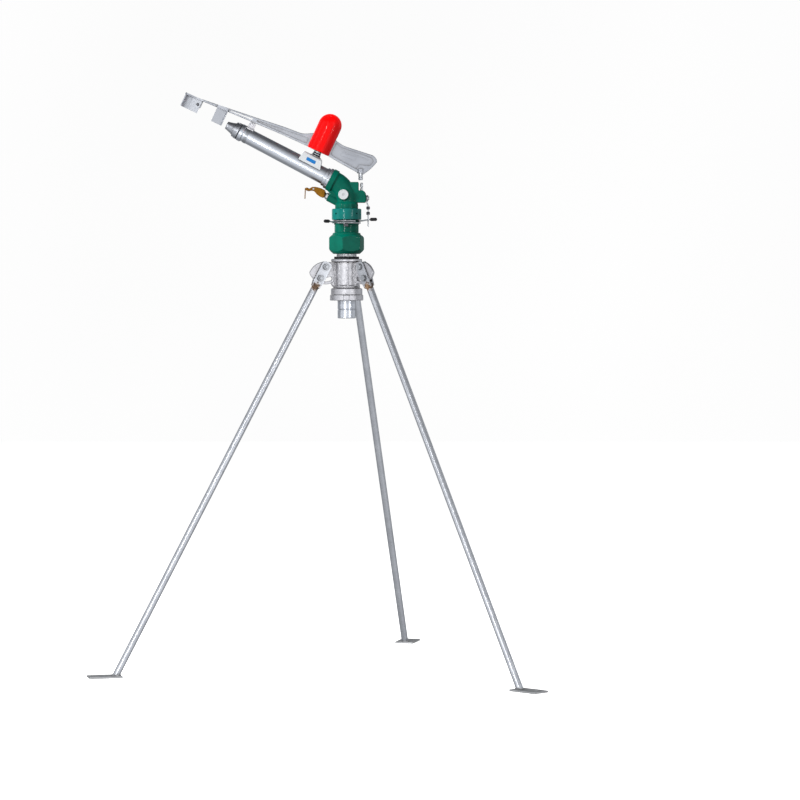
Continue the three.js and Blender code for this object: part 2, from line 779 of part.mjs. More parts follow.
// The saddle that carries the arm pin on the barrel.
function makeArmSeat(frame) {
  const saddle = outline([
    [9, -30, 2],
    [36, -30, 6],
    [40, -18, 6],
    [40, 18, 6],
    [36, 30, 6],
    [9, 30, 2],
  ]);
  const sideView = outline([
    [5, 36, 6],
    [42, 48, 7],
    [42, 106, 10],
    [5, 112, 12],
  ]);
  const body = common(planPlate(saddle, 30, 115), sidePlate(sideView, -32, 32));
  const toArm = armPivot.clone().sub(flangeFace).applyAxisAngle(
    new THREE.Vector3(0, 1, 0),
    degrees(90 - barrelAngle),
  );
  const place = (geometry) =>
    geometry
      .rotateY(degrees(armTilt + 90 - barrelAngle))
      .translate(toArm.x, 0, toArm.z);
  const boss = place(rod(17, seatTop - 12, seatTop));
  const pinHole = place(rod(pinRadius + gap, -60, 0, 24));
  const bore = rod(barrelRearRadius + gap, 0, 150, 24);
  piece(frame, "arm_seat", cut(join(body, boss), bore, pinHole), whiteEnamel);
}

// ---- Rocker arm ---------------------------------------------------------------------------

const striker = { x: -211, half: 6 };
const vaneTop = -14.4;
const vaneBottom = -51;

// The vane seen from above: straight along the arm, then curling towards -Y at its lip.
function vaneLine(offset) {
  const points = [];
  points.push([-377, 4 + offset], [-404, 4 + offset]);
  const radius = 27 + offset;
  for (let turn = 15; turn <= 75; turn += 15) {
    const angle = degrees(90 + turn);
    points.push([-404 + radius * Math.cos(angle), -23 + radius * Math.sin(angle)]);
  }
  return points;
}

// The arm from above: a narrow bar, wider over the vane, the guide plate and the hub.
function armPlan() {
  const half = armWidth / 2;
  const curl = vaneLine(2.6);
  return outline([
    [173.5, -half, 4],
    [173.5, half, 4],
    [-376, half, 2],
    ...curl.slice(1),
    [-427, -20],
    [-412, -13],
    [-400, -half, 4],
    [-330, -half],
    [-329, -14, 3],
    [-294, -14, 3],
    [-293, -half],
  ]);
}

function makeArm(frame) {
  const profile = outline([
    [-431, -8],
    [-396, -8, 10],
    [-319, 0, 10],
    [-212, 12],
    [-120, 23],
    [-62, 27, 16],
    [-30.5, 46, 8],
    [-hubHalf, hubTop, 5],
    [hubHalf, hubTop, 5],
    [31.5, 52, 8],
    [60, 46, 12],
    [158, 58, 8],
    [175, 48, 9],
    [165, 18, 4],
    [151, -8, 5],
    [134, -9, 5],
    [64, -4, 20],
    [28, 0],
    [-120, -1],
    [-300, -8, 12],
    [-431, -14],
  ]);
  const windowTop = hubTop - 13;
  const window = outline([
    [-21, 13, 4],
    [21, 13, 4],
    [21, windowTop, 4],
    [-21, windowTop, 4],
  ]);
  const slot = outline([[-289, -3], [-218, 0.5, 1], [-218, 6, 1], [-289, -1]]);
  const frontPocket = outline([
    [-204, 1.5, 2],
    [-40, 5, 5],
    [-40, 24, 8],
    [-62, 21.5, 8],
    [-204, 7, 2],
  ]);
  const rearPocket = outline([
    [38, 6, 6],
    [64, 3, 8],
    [128, -1.5, 4],
    [128, 14, 6],
    [160, 24, 6],
    [165, 42, 5],
    [154, 51, 5],
    [60, 40, 10],
    [38, 46, 6],
  ]);
  const solidArm = common(sidePlate(profile, -40, 40), planPlate(armPlan(), -20, 60, 4));
  const yoke = common(
    sidePlate(profile, -12, 12),
    block(-hubHalf, hubHalf, -12, 12, 0, hubTop + 5),
  );
  const strikerBlock = block(
    striker.x - striker.half,
    striker.x + striker.half,
    -striker.half,
    striker.half,
    -17,
    0,
  );
  const pocketDepth = (armWidth - webThickness) / 2;
  const pockets = [frontPocket, rearPocket].flatMap((shape) => [
    sidePlate(shape, -20, -armWidth / 2 + pocketDepth),
    sidePlate(shape, armWidth / 2 - pocketDepth, 20),
  ]);
  const arm = cut(
    join(cut(solidArm, ...pockets), yoke, strikerBlock, tailPinRod(10.5, 4, 18)),
    sidePlate(window, -30, 30),
    sidePlate(slot, -30, 30),
    rod(bushRadius + 0.4, -1, hubTop + 5, 16),
    tailPinRod(tailPinRadius + gap, -40, 30),
  );
  piece(frame, "rocker_arm", arm, armAluminium);
  piece(frame, "tail_pin", tailPinRod(tailPinRadius, -16, 16), zincSteel);
}

// A rod on the tail pin's axis, which is upright when the arm is at rest.
function tailPinRod(radius, from, to) {
  return rod(radius, from, to, 24).rotateY(degrees(-armTilt)).translate(144.8, 0, -10.3);
}

function makeVanes(frame) {
  const outer = vaneLine(0);
  const inner = vaneLine(-3).reverse();
  const vaneShape = outline([...outer, ...inner]);
  const rivetHole = crossRod(3, -385, -26, -10, 20, 12);
  const vane = cut(planPlate(vaneShape, vaneBottom, vaneTop), rivetHole);
  piece(frame, "drive_vane", vane, armAluminium);
  const guideShape = outline([
    [-328, -10],
    [-298, -4],
    [-296, -8.5],
    [-293.5, -7.5],
    [-296.5, -0.8],
    [-328, -7],
  ]);
  piece(frame, "guide_plate", planPlate(guideShape, -54, -10.6), armAluminium);
}

function makeHub(gun) {
  const frame = frameAt(gun, armPivot, armTilt);
  makeArm(frame);
  makeVanes(frame);
  const pin = turned([
    [0, -30],
    [pinRadius, -30],
    [pinRadius, 103],
    [pinRadius - 1, 104.5],
    [0, 104.5],
  ], 24);
  piece(frame, "arm_pin", pin, zincSteel);
  piece(frame, "seat_washer", ring(pinRadius + gap, seatWasherRadius, seatTop + 0.4, -1.8, 24), blackRubber);
  const bore = pinRadius + gap;
  const lowerBush = turned([
    [bore, -1.4],
    [13, -1.4],
    [13, -0.3],
    [bushRadius, -0.3],
    [bushRadius, 12],
    [bore, 12],
    [bore, -1.4],
  ], 16);
  piece(frame, "arm_bush_lower", lowerBush, brass);
  const upperBush = turned([
    [bore, hubTop - 12],
    [bushRadius, hubTop - 12],
    [bushRadius, hubTop + 0.3],
    [13, hubTop + 0.3],
    [13, hubTop + 2],
    [bore, hubTop + 2],
    [bore, hubTop - 12],
  ], 16);
  piece(frame, "arm_bush_upper", upperBush, brass);
  piece(frame, "spring_collar", ring(bore, 16, 58, 70, 20), brass);
  makeSpring(frame);
  const nut = new THREE.CylinderGeometry(11, 11, 10, 6).rotateX(Math.PI / 2).translate(0, 0, 92.4);
  piece(frame, "pin_nut", cut(nut, rod(bore, 80, 100, 24)), zincSteel);
  makeCap(frame);
}

// The torsion spring that brings the arm back to the anvil.
function makeSpring(frame) {
  const turns = 6;
  const coilRadius = 13.4;
  const wireRadius = 1.7;
  const from = 16;
  const to = 55.8;
  const points = [];
  for (let i = 0; i <= turns * 12; i++) {
    const angle = (i / 12) * 2 * Math.PI;
    const z = THREE.MathUtils.lerp(from, to, i / (turns * 12));
    points.push(new THREE.Vector3(coilRadius * Math.cos(angle), coilRadius * Math.sin(angle), z));
  }
  const helix = new THREE.CatmullRomCurve3(points);
  piece(frame, "torsion_spring", bar(helix, wireRadius, turns * 10, 5), zincSteel);
}

// The cap drops over the hub; slots at its two sides clear the arm.
function makeCap(frame) {
  const wall = 2;
  const domeStart = capHeight - capRadius;
  const dome = (radius, end) => {
    const points = [];
    for (let i = 0; i <= 5; i++) {
      const angle = (i / 5) * (Math.PI / 2);
      points.push([radius * Math.cos(angle), domeStart + radius * Math.sin(angle)]);
    }
    return turned([[0, end], [radius, end], ...points]);
  };
  const half = armWidth / 2 + 0.6;
  const shell = cut(
    dome(capRadius, -0.8),
    dome(capRadius - wall, -5),
    block(-50, 0, -half, half, -5, 48),
    block(0, 50, -half, half, -5, 60),
  );
  piece(frame, "spring_cap", shell, redPlastic);
}

// ---- Reversing gear -----------------------------------------------------------------------

function makeReverser(gun) {
  const pawl = join(
    longRod(pawlShaftRadius, reverserHeight, 35, 68, 12),
    longRod(8, reverserHeight, pawlLeverX - 5, pawlLeverX + 5, 16),
    rod(4.2, reverserHeight, reverserHeight + 46, 10).translate(pawlLeverX, 0, 0),
  );
  piece(gun, "reversing_pawl", pawl, zincSteel);
  const wire = new THREE.CatmullRomCurve3([
    new THREE.Vector3(61.6, 0, reverserHeight - 7),
    new THREE.Vector3(62, 0, reverserHeight - 16),
    new THREE.Vector3(tripRodX, 0, reverserHeight - 26),
    new THREE.Vector3(tripRodX, 0, reverserHeight - 46),
    new THREE.Vector3(tripRodX, 0, tripRodBottom),
  ]);
  const knob = (from, to) =>
    turned([[0, from], [4.4, from], [5.6, from + 2], [5.6, to - 2], [4.4, to], [0, to]], 10);
  const tripRod = join(
    cut(
      longRod(9, reverserHeight, 59, 65, 16),
      longRod(pawlShaftRadius + gap, reverserHeight, 50, 80, 12),
    ),
    bar(wire, 2.1, 12, 6),
    knob(reverserHeight - 34, reverserHeight - 25).translate(tripRodX, 0, 0),
    knob(reverserHeight - 50, reverserHeight - 41).translate(tripRodX, 0, 0),
  );
  piece(gun, "trip_rod", tripRod, zincSteel);
}

// ---- Assembly -----------------------------------------------------------------------------

makeHead(sprinkler);
makeCoupling(sprinkler);
for (let index = 1; index <= legCount; index++) {
  makeLeg(sprinkler, index);
}
makeInlet(sprinkler);
collarFingers.forEach((finger, i) => makeCollar(sprinkler, i + 1));
makeElbow(sprinkler);
makeSpreader(sprinkler);
makeBarrel(sprinkler);
makeHub(sprinkler);
makeReverser(sprinkler);

// The origin is on the ground, at the middle of the footprint.
sprinkler.updateMatrixWorld(true);
const footprint = new THREE.Box3().setFromObject(sprinkler, true).getCenter(new THREE.Vector3());
sprinkler.position.set(-footprint.x, -footprint.y, 0);

export default sprinkler;
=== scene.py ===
# The look of the rain gun and its stand, in metres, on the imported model's frame.
import json
from math import cos, pi, radians, sin, tan

import bmesh
import bpy
from mathutils import Matrix, Vector, noise


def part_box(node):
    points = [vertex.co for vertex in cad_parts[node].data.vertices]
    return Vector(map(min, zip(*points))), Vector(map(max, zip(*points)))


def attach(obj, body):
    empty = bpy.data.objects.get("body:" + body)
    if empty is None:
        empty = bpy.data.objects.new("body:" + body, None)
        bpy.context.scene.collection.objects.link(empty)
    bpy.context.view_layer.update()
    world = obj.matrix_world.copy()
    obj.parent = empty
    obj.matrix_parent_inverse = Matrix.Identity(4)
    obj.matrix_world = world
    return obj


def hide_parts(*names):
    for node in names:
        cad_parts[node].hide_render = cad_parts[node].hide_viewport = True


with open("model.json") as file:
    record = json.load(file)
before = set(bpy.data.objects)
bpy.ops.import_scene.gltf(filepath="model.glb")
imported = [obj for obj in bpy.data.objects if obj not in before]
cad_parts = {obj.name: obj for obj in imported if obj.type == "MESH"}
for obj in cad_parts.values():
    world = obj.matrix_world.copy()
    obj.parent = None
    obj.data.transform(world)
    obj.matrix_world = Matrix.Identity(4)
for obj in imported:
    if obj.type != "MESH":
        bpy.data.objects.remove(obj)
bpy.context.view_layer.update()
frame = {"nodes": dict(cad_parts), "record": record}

nodes = frame["nodes"]
scene = bpy.context.scene

# ---- Frames: shapes are made in millimetres and placed by one of these matrices

MM = 0.001


def middle(node):
    low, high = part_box(node)
    return (Vector(low) + Vector(high)) / 2


swivel = middle("riser_nipple")
GUN = Matrix.Translation((swivel.x, swivel.y, 0)) @ Matrix.Scale(MM, 4)

LEG_SPREAD = 27.9
STAND_TURN = 15.5
PIVOT_RADIUS = 65.5
PIVOT_HEIGHT = 1210
BARREL_ANGLE = 27.6
ARM_TILT = 25
FLANGE_FACE = (-49.5, 0, 1472.5)
ARM_PIVOT = (-84.9, 0, 1556.5)


def turn(degrees, axis):
    return Matrix.Rotation(radians(degrees), 4, axis)


def shift(x, y, z):
    return Matrix.Translation((x, y, z))


BARREL = GUN @ shift(*FLANGE_FACE) @ turn(BARREL_ANGLE - 90, "Y")
ARM = GUN @ shift(*ARM_PIVOT) @ turn(ARM_TILT, "Y")


def leg_turn(index):
    return turn(180 + STAND_TURN + (index - 1) * 120, "Z")


def leg_frame(index):
    """Origin on the pivot bolt, -Z down the leg, X outwards."""
    place = shift(PIVOT_RADIUS, 0, PIVOT_HEIGHT) @ turn(-LEG_SPREAD, "Y")
    return GUN @ leg_turn(index) @ place


# ---- Materials


def wire(tree, node, inputs):
    for name, value in inputs.items():
        if isinstance(value, bpy.types.NodeSocket):
            tree.links.new(value, node.inputs[name])
        else:
            node.inputs[name].default_value = value


def add(tree, kind, inputs=None, **settings):
    node = tree.nodes.new(kind)
    for name, value in settings.items():
        setattr(node, name, value)
    wire(tree, node, inputs or {})
    return node


def noise_of(tree, place, scale, detail=4, rough=0.55):
    inputs = {"Vector": place, "Scale": scale, "Detail": detail, "Roughness": rough}
    return add(tree, "ShaderNodeTexNoise", inputs).outputs["Fac"]


def remap(tree, value, low, high, new_low, new_high):
    inputs = {"Value": value, "From Min": low, "From Max": high, "To Min": new_low, "To Max": new_high}
    return add(tree, "ShaderNodeMapRange", inputs).outputs["Result"]


def blend_colours(tree, factor, first, second):
    """A mix node has a set of sockets for each kind of value: 6, 7 and the output 2 are the colours."""
    return add(tree, "ShaderNodeMix", {0: factor, 6: first, 7: second}, data_type="RGBA").outputs[2]


def empty_material(name):
    material = bpy.data.materials.new(name)
    material.use_nodes = True
    tree = material.node_tree
    tree.nodes.clear()
    return material, tree, add(tree, "ShaderNodeTexCoord").outputs["Object"]


def new_material(name):
    material, tree, place = empty_material(name)
    shader = add(tree, "ShaderNodeBsdfPrincipled")
    add(tree, "ShaderNodeOutputMaterial", {0: shader.outputs[0]})
    return material, tree, shader, place


def rgba(r, g, b):
    return (r, g, b, 1.0)


def maths(tree, operation, first, second):
    return add(tree, "ShaderNodeMath", {0: first, 1: second}, operation=operation).outputs[0]


def vector_maths(tree, operation, *values):
    """The result is a number for LENGTH and DOT_PRODUCT, and otherwise a vector."""
    node = add(tree, "ShaderNodeVectorMath", dict(enumerate(values)), operation=operation)
    return node.outputs["Value" if operation in ("LENGTH", "DOT_PRODUCT") else "Vector"]


def bump(tree, shader, height, distance, under=None):
    inputs = {"Height": height, "Distance": distance, "Strength": 1.0}
    if under is not None:
        inputs["Normal"] = under
    node = add(tree, "ShaderNodeBump", inputs)
    tree.links.new(node.outputs["Normal"], shader.inputs["Normal"])
    return node.outputs["Normal"]


def metal(name, light, dark, rough, grain, depth, spread=0.09, spangle=0.0, hollow_shade=0.0):
    """Bare metal: its grey and its roughness vary softly, and it has a fine grain. It may also have
    painted shade that darkens its hollows and corners.
    """
    material, tree, shader, place = new_material(name)
    colour = clouded(tree, place, dark, light, 22, 5)
    if spangle:
        colour = spangled(tree, place, colour, spangle)
    # Painted shade: the colour darkened in hollows and corners.
    if hollow_shade:
        colour = shade_in_hollows(tree, colour, hollow_shade)
    wire(tree, shader, {"Base Color": colour, "Metallic": 1.0})
    roughened(tree, shader, noise_of(tree, place, 160, 3), rough - spread, rough + spread)
    bump(tree, shader, noise_of(tree, place, grain, 4, 0.6), depth)
    return material


def clouded(tree, place, dark, light, scale, detail):
    """Two shades of one colour in soft clouds."""
    cloud = remap(tree, noise_of(tree, place, scale, detail), 0.3, 0.7, 0, 1)
    return blend_colours(tree, cloud, rgba(*dark), rgba(*light))


def roughened(tree, shader, fine, low, high):
    wire(tree, shader, {"Roughness": remap(tree, fine, 0.3, 0.7, low, high)})


def spangled(tree, place, colour, amount):
    """The crystal pattern of hot-dip zinc."""
    cells = add(tree, "ShaderNodeTexVoronoi", {"Vector": place, "Scale": 95.0})
    shade = remap(tree, cells.outputs["Color"], 0, 1, 1 - amount, 1 + amount)
    node = add(tree, "ShaderNodeVectorMath", {0: colour, "Scale": shade}, operation="SCALE")
    return node.outputs[0]


def shade_in_hollows(tree, colour, amount, tint=(0.16, 0.15, 0.14)):
    """Painted shade: the colour darkened by ambient occlusion in hollows and corners, where shade falls.
    """
    hollow = add(tree, "ShaderNodeAmbientOcclusion", {"Distance": 0.012}, samples=4)
    painted_shade = remap(tree, hollow.outputs["AO"], 0.35, 0.9, amount, 0)
    return blend_colours(tree, painted_shade, colour, rgba(*tint))


def coated(tree, shader, colour, coat, shine, coat_rough):
    look = {"Base Color": colour, "Specular IOR Level": shine}
    wire(tree, shader, look | {"Coat Weight": coat, "Coat Roughness": coat_rough})


def enamel(name, light, dark, rough, coat, shine, waviness=0.0003):
    """Glossy paint on a casting: soft orange peel under a clear coat, with painted shade darkening its
    hollows.
    """
    material, tree, shader, place = new_material(name)
    # Painted shade: the paint's colour darkened in hollows and corners.
    colour = shade_in_hollows(tree, clouded(tree, place, dark, light, 30, 4), 0.55, tuple(c * 0.25 for c in dark))
    coated(tree, shader, colour, coat, shine, 0.07)
    roughened(tree, shader, noise_of(tree, place, 120, 3), rough - 0.05, rough + 0.08)
    cast = bump(tree, shader, noise_of(tree, place, 45, 3), waviness)
    bump(tree, shader, noise_of(tree, place, 210, 2), waviness * 0.25, cast)
    return material


def plastic(name, light, dark, rough, coat=0.0, shine=0.5, grain=300.0, depth=0.00005):
    material, tree, shader, place = new_material(name)
    coated(tree, shader, clouded(tree, place, dark, light, 18, 3), coat, shine, 0.05)
    roughened(tree, shader, noise_of(tree, place, 90, 4), rough - 0.04, rough + 0.07)
    bump(tree, shader, noise_of(tree, place, grain, 3), depth)
    return material


ZINC_LIGHT, ZINC_DARK = (0.64, 0.65, 0.68), (0.52, 0.53, 0.56)

GALVANISED = metal("galvanised", ZINC_LIGHT, ZINC_DARK, 0.36, 200, 1e-5, 0.05, 0.05, 0.6)
PLATE_ZINC = metal(
    "galvanised_plate", (0.66, 0.66, 0.66), (0.50, 0.50, 0.51), 0.5, 200, 6e-5, 0.08, 0.06, 0.5
)
PALE_ZINC = metal("pale_zinc", (0.84, 0.84, 0.84), (0.72, 0.72, 0.73), 0.42, 240, 5e-5, 0.08)
CAST = metal("cast_aluminium", (0.68, 0.67, 0.69), (0.55, 0.54, 0.56), 0.52, 260, 8e-5, 0.07, 0.0, 0.9)
ARM_CAST = metal("arm_aluminium", (0.42, 0.43, 0.46), (0.35, 0.36, 0.39), 0.46, 260, 3e-5, 0.05, 0.0, 1.0)
POLISHED = metal(
    "polished_aluminium", (0.66, 0.68, 0.72), (0.60, 0.62, 0.67), 0.32, 120, 4e-6, 0.03, 0.0, 0.5
)
NOZZLE_METAL = metal(
    "nozzle_aluminium", (0.52, 0.53, 0.56), (0.38, 0.39, 0.42), 0.34, 200, 2e-5, 0.06, 0.0, 0.9
)
STEEL = metal("zinc_steel", (0.54, 0.55, 0.57), (0.38, 0.39, 0.41), 0.32, 300, 2e-5, 0.06, 0.0, 0.8)
DARK_STEEL = metal("dark_steel", (0.12, 0.12, 0.13), (0.05, 0.05, 0.055), 0.38, 420, 5e-5, 0.08, 0.0, 0.4)
BRIGHT_ARM = metal("bright_arm_aluminium", (0.51, 0.52, 0.55), (0.46, 0.47, 0.50), 0.52, 120, 4e-6, 0.03)
BRASS = metal("brass", (0.27, 0.125, 0.014), (0.15, 0.058, 0.007), 0.36, 300, 6e-5, 0.07, 0.0, 0.8)
GREEN = enamel("green_enamel", (0.0003, 0.122, 0.082), (0.0002, 0.090, 0.060), 0.3, 0.18, 0.03)
TEAL = enamel("teal_enamel", (0.0003, 0.160, 0.140), (0.0002, 0.118, 0.103), 0.24, 0.42, 0.03, 0.00012)
WHITE = enamel("white_enamel", (0.60, 0.62, 0.64), (0.53, 0.55, 0.57), 0.32, 0.3, 0.3, 0.0002)
RED = plastic("red_plastic", (1.0, 0.0008, 0.0012), (0.94, 0.0006, 0.0008), 0.25, 0.25, 0.04)
RUBBER = plastic("black_rubber", (0.020, 0.020, 0.022), (0.009, 0.009, 0.010), 0.6, 0.0, 0.25, 700, 2e-4)
SEAL = plastic("seal_plastic", (0.66, 0.65, 0.60), (0.56, 0.55, 0.50), 0.5)
BLUE = plastic("blue_panel", (0.010, 0.165, 0.47), (0.007, 0.135, 0.40), 0.35, 0.15, 0.15)


WELD_DROP = 68  # from the pivot bolt, along the leg
WELD_REACH = (PIVOT_RADIUS + WELD_DROP * sin(radians(LEG_SPREAD))) * MM
WELD_HEIGHT = (PIVOT_HEIGHT - WELD_DROP * cos(radians(LEG_SPREAD))) * MM


def weld_distance(tree, place):
    """How far a point is from the circle that the three leg welds sit on."""
    centre = (swivel.x, swivel.y, WELD_HEIGHT)
    offset = vector_maths(tree, "SUBTRACT", place, centre)
    rise = add(tree, "ShaderNodeSeparateXYZ", {0: offset}).outputs["Z"]
    level = vector_maths(tree, "MULTIPLY", offset, (1, 1, 0))
    out = maths(tree, "SUBTRACT", vector_maths(tree, "LENGTH", level), WELD_REACH)
    both = add(tree, "ShaderNodeCombineXYZ", {"X": out, "Z": rise}).outputs[0]
    return vector_maths(tree, "LENGTH", both)


def scorched():
    """Galvanised steel with painted shade in its hollows, browned where the leg pipes are welded to their
    straps.
    """
    material, tree, shader, place = new_material("galvanised_scorched")
    colour = clouded(tree, place, ZINC_DARK, ZINC_LIGHT, 22, 5)
    # Painted shade: the zinc colour darkened in hollows and corners.
    colour = shade_in_hollows(tree, spangled(tree, place, colour, 0.05), 0.6)
    speckle = noise_of(tree, place, 130, 4)
    wavering = remap(tree, speckle, 0.3, 0.7, -0.009, 0.009)
    distance = maths(tree, "ADD", weld_distance(tree, place), wavering)
    burnt = remap(tree, distance, 0.009, 0.017, 1, 0)
    patchy = remap(tree, speckle, 0.42, 0.58, 0, 1)
    brown = blend_colours(tree, patchy, rgba(0.055, 0.028, 0.015), rgba(0.30, 0.185, 0.10))
    colour = blend_colours(tree, burnt, colour, brown)
    wire(tree, shader, {"Base Color": colour, "Metallic": remap(tree, burnt, 0, 1, 1.0, 0.2)})
    roughened(tree, shader, noise_of(tree, place, 160, 3), 0.25, 0.41)
    bump(tree, shader, noise_of(tree, place, 240, 4, 0.6), 0.00001)
    return material


SCORCHED = scorched()

# The finish slots of the record: a CAD node that stays as it is wears the first material of its slot.
FINISHES = {
    "galvanised_steel": (GALVANISED, PLATE_ZINC, PALE_ZINC, SCORCHED),
    "cast_aluminium": (CAST,),
    "arm_aluminium": (ARM_CAST, BRIGHT_ARM),
    "polished_aluminium": (POLISHED, NOZZLE_METAL),
    "zinc_steel": (STEEL, DARK_STEEL),
    "green_enamel": (GREEN, TEAL),
    "white_enamel": (WHITE, BLUE),
    "red_plastic": (RED,),
    "brass": (BRASS,),
    "black_rubber": (RUBBER,),
    "seal_plastic": (SEAL,),
}

# ---- Shapes


class Shape:
    """Points in millimetres, and faces between them."""

    def __init__(self, points, faces):
        self.points = [Vector(p) for p in points]
        self.faces = [tuple(f) for f in faces]

    def moved(self, matrix):
        return Shape([matrix @ p for p in self.points], self.faces)


def joined(shapes):
    points, faces = [], []
    for shape in shapes:
        faces += [tuple(i + len(points) for i in face) for face in shape.faces]
        points += shape.points
    return Shape(points, faces)


def mesh_of(shape, place=None):
    mesh = bpy.data.meshes.new("shape")
    points = [place @ p for p in shape.points] if place else shape.points
    mesh.from_pydata(points, [], shape.faces)
    work = bmesh.new()
    work.from_mesh(mesh)
    bmesh.ops.remove_doubles(work, verts=work.verts, dist=1e-6 if place else 1e-4)
    bmesh.ops.recalc_face_normals(work, faces=work.faces)
    work.to_mesh(mesh)
    work.free()
    return mesh


def applied(obj):
    graph = bpy.context.evaluated_depsgraph_get()
    return bpy.data.meshes.new_from_object(obj.evaluated_get(graph))


def baked(obj):
    """The shape of an object with its modifiers applied; the object is then removed."""
    mesh = applied(obj)
    shape = Shape([v.co.copy() for v in mesh.vertices], [tuple(f.vertices) for f in mesh.polygons])
    data = obj.data
    family = bpy.data.curves if isinstance(data, bpy.types.Curve) else bpy.data.meshes
    bpy.data.objects.remove(obj)
    bpy.data.meshes.remove(mesh)
    family.remove(data)
    return shape


def helper(data):
    obj = bpy.data.objects.new("helper", data)
    scene.collection.objects.link(obj)
    return obj


def carved(operation, first, *others):
    base = helper(mesh_of(first))
    tools = [helper(mesh_of(other)) for other in others]
    for tool in tools:
        step = base.modifiers.new("step", "BOOLEAN")
        step.operation = operation
        step.solver = "MANIFOLD"
        step.object = tool
    shape = baked(base)
    for tool in tools:
        data = tool.data
        bpy.data.objects.remove(tool)
        bpy.data.meshes.remove(data)
    return shape


def cut(shape, *cutters):
    return carved("DIFFERENCE", shape, *cutters)


def common(first, second):
    return carved("INTERSECT", first, second)


def cast_of(shape, voxel, passes, keep):
    """One skin over overlapping shapes, with soft inner corners and edges, as a casting has."""
    base = helper(mesh_of(shape))
    skin = base.modifiers.new("skin", "REMESH")
    skin.mode = "VOXEL"
    skin.voxel_size = voxel
    soft = base.modifiers.new("soft", "SMOOTH")
    soft.iterations = passes
    soft.factor = 0.5
    fewer = base.modifiers.new("fewer", "DECIMATE")
    fewer.ratio = keep
    return baked(base)


def corner_curve(start, corner, end, steps):
    """Points along the curve that rounds a corner."""
    fractions = [k / steps for k in range(steps + 1)]
    return [tuple(start * (1 - t) ** 2 + corner * 2 * t * (1 - t) + end * t**2) for t in fractions]


def arc(x, z, radius, start, end, steps):
    """Points round a centre, from one angle in degrees to another."""
    angles = [radians(start + (end - start) * k / steps) for k in range(steps + 1)]
    return [(x + radius * cos(a), z + radius * sin(a)) for a in angles]


def circle(x, z, radius):
    return arc(x, z, radius, 0, 345, 23)


def eased(points, radius, closed, steps=3):
    """A 2D line with its corners rounded, so that turned and plate edges catch the light."""
    out = []
    count = len(points)
    for i, point in enumerate(points):
        here = Vector(point)
        if not closed and i in (0, count - 1):
            out.append(tuple(here))
            continue
        before = Vector(points[(i - 1) % count]) - here
        after = Vector(points[(i + 1) % count]) - here
        reach = min(radius, before.length * 0.45, after.length * 0.45)
        if reach < 0.02 or abs(before.angle(after, pi) - pi) < 0.05:
            out.append(tuple(here))
            continue
        start = here + before.normalized() * reach
        end = here + after.normalized() * reach
        out += corner_curve(start, here, end, steps)
    return out


def outline(corners):
    """A closed outline through (x, y, setback) corners: a setback rounds its corner."""
    out = []
    count = len(corners)
    for i, corner in enumerate(corners):
        here = Vector(corner[:2])
        setback = corner[2] if len(corner) > 2 else 0
        if not setback:
            out.append(tuple(here))
            continue
        before = Vector(corners[(i - 1) % count][:2]) - here
        after = Vector(corners[(i + 1) % count][:2]) - here
        start = here + before.normalized() * setback
        end = here + after.normalized() * setback
        out += corner_curve(start, here, end, 6)
    return out


def lathe(profile, segments=72, ease=0.6):
    """A turned shape about Z from (radius, height) points: open on the axis, or a closed ring."""
    closed = profile[0] == profile[-1]
    line = profile[:-1] if closed else profile
    if ease:
        line = eased(line, ease, closed)
    points, rings, faces = [], [], []
    for radius, height in line:
        start = len(points)
        if radius < 1e-6:
            points.append((0, 0, height))
            rings.append([start] * segments)
            continue
        for k in range(segments):
            angle = 2 * pi * k / segments
            points.append((radius * cos(angle), radius * sin(angle), height))
        rings.append(list(range(start, start + segments)))
    pairs = list(zip(rings, rings[1:])) + ([(rings[-1], rings[0])] if closed else [])
    for low, high in pairs:
        for k in range(segments):
            n = (k + 1) % segments
            face = tuple(dict.fromkeys((low[k], low[n], high[n], high[k])))
            if len(face) > 2:
                faces.append(face)
    return Shape(points, faces)


def rod(radius, low, high, segments=48, ease=0.5):
    return lathe([(0, low), (radius, low), (radius, high), (0, high)], segments, ease)


def ring(inner, outer, low, high, segments=72, ease=0.5):
    return lathe([(inner, low), (outer, low), (outer, high), (inner, high), (inner, low)], segments, ease)


ALONG_X = turn(90, "Y")
ALONG_Y = turn(-90, "X")


def cross_rod(radius, x, z, low, high, segments=48, ease=0.5):
    return rod(radius, low, high, segments, ease).moved(shift(x, 0, z) @ ALONG_Y)


def long_rod(radius, z, low, high, segments=48, ease=0.5):
    return rod(radius, low, high, segments, ease).moved(shift(0, 0, z) @ ALONG_X)


def plate(rings, low, high, bevel=0.5, plane="XZ"):
    """A plate with eased edges: its outline first, then its holes."""
    curve = bpy.data.curves.new("plate", "CURVE")
    curve.dimensions = "2D"
    curve.fill_mode = "BOTH"
    curve.extrude = (high - low) / 2 - bevel
    curve.bevel_depth = bevel
    curve.bevel_resolution = 1
    curve.offset = -bevel
    for line in rings:
        spline = curve.splines.new("POLY")
        spline.points.add(len(line) - 1)
        for point, (x, y) in zip(spline.points, line):
            point.co = (x, y, 0, 1)
        spline.use_cyclic_u = True
    shape = baked(helper(curve))
    if plane == "XZ":
        return shape.moved(shift(0, (low + high) / 2, 0) @ turn(90, "X"))
    return shape.moved(shift(0, 0, (low + high) / 2))


def slab(corners, low, high, bevel=0.5, plane="XZ"):
    """A plate whose outline goes through (x, y, setback) corners."""
    return plate([outline(corners)], low, high, bevel, plane)


def block(x0, x1, y0, y1, z0, z1, bevel=0.5):
    return slab([(x0, y0), (x1, y0), (x1, y1), (x0, y1)], z0, z1, bevel, "XY")


def repeated(shape, count, first=0):
    """Copies of a shape spaced evenly about Z, the first one turned by some degrees."""
    return [shape.moved(turn(first + 360 * k / count, "Z")) for k in range(count)]


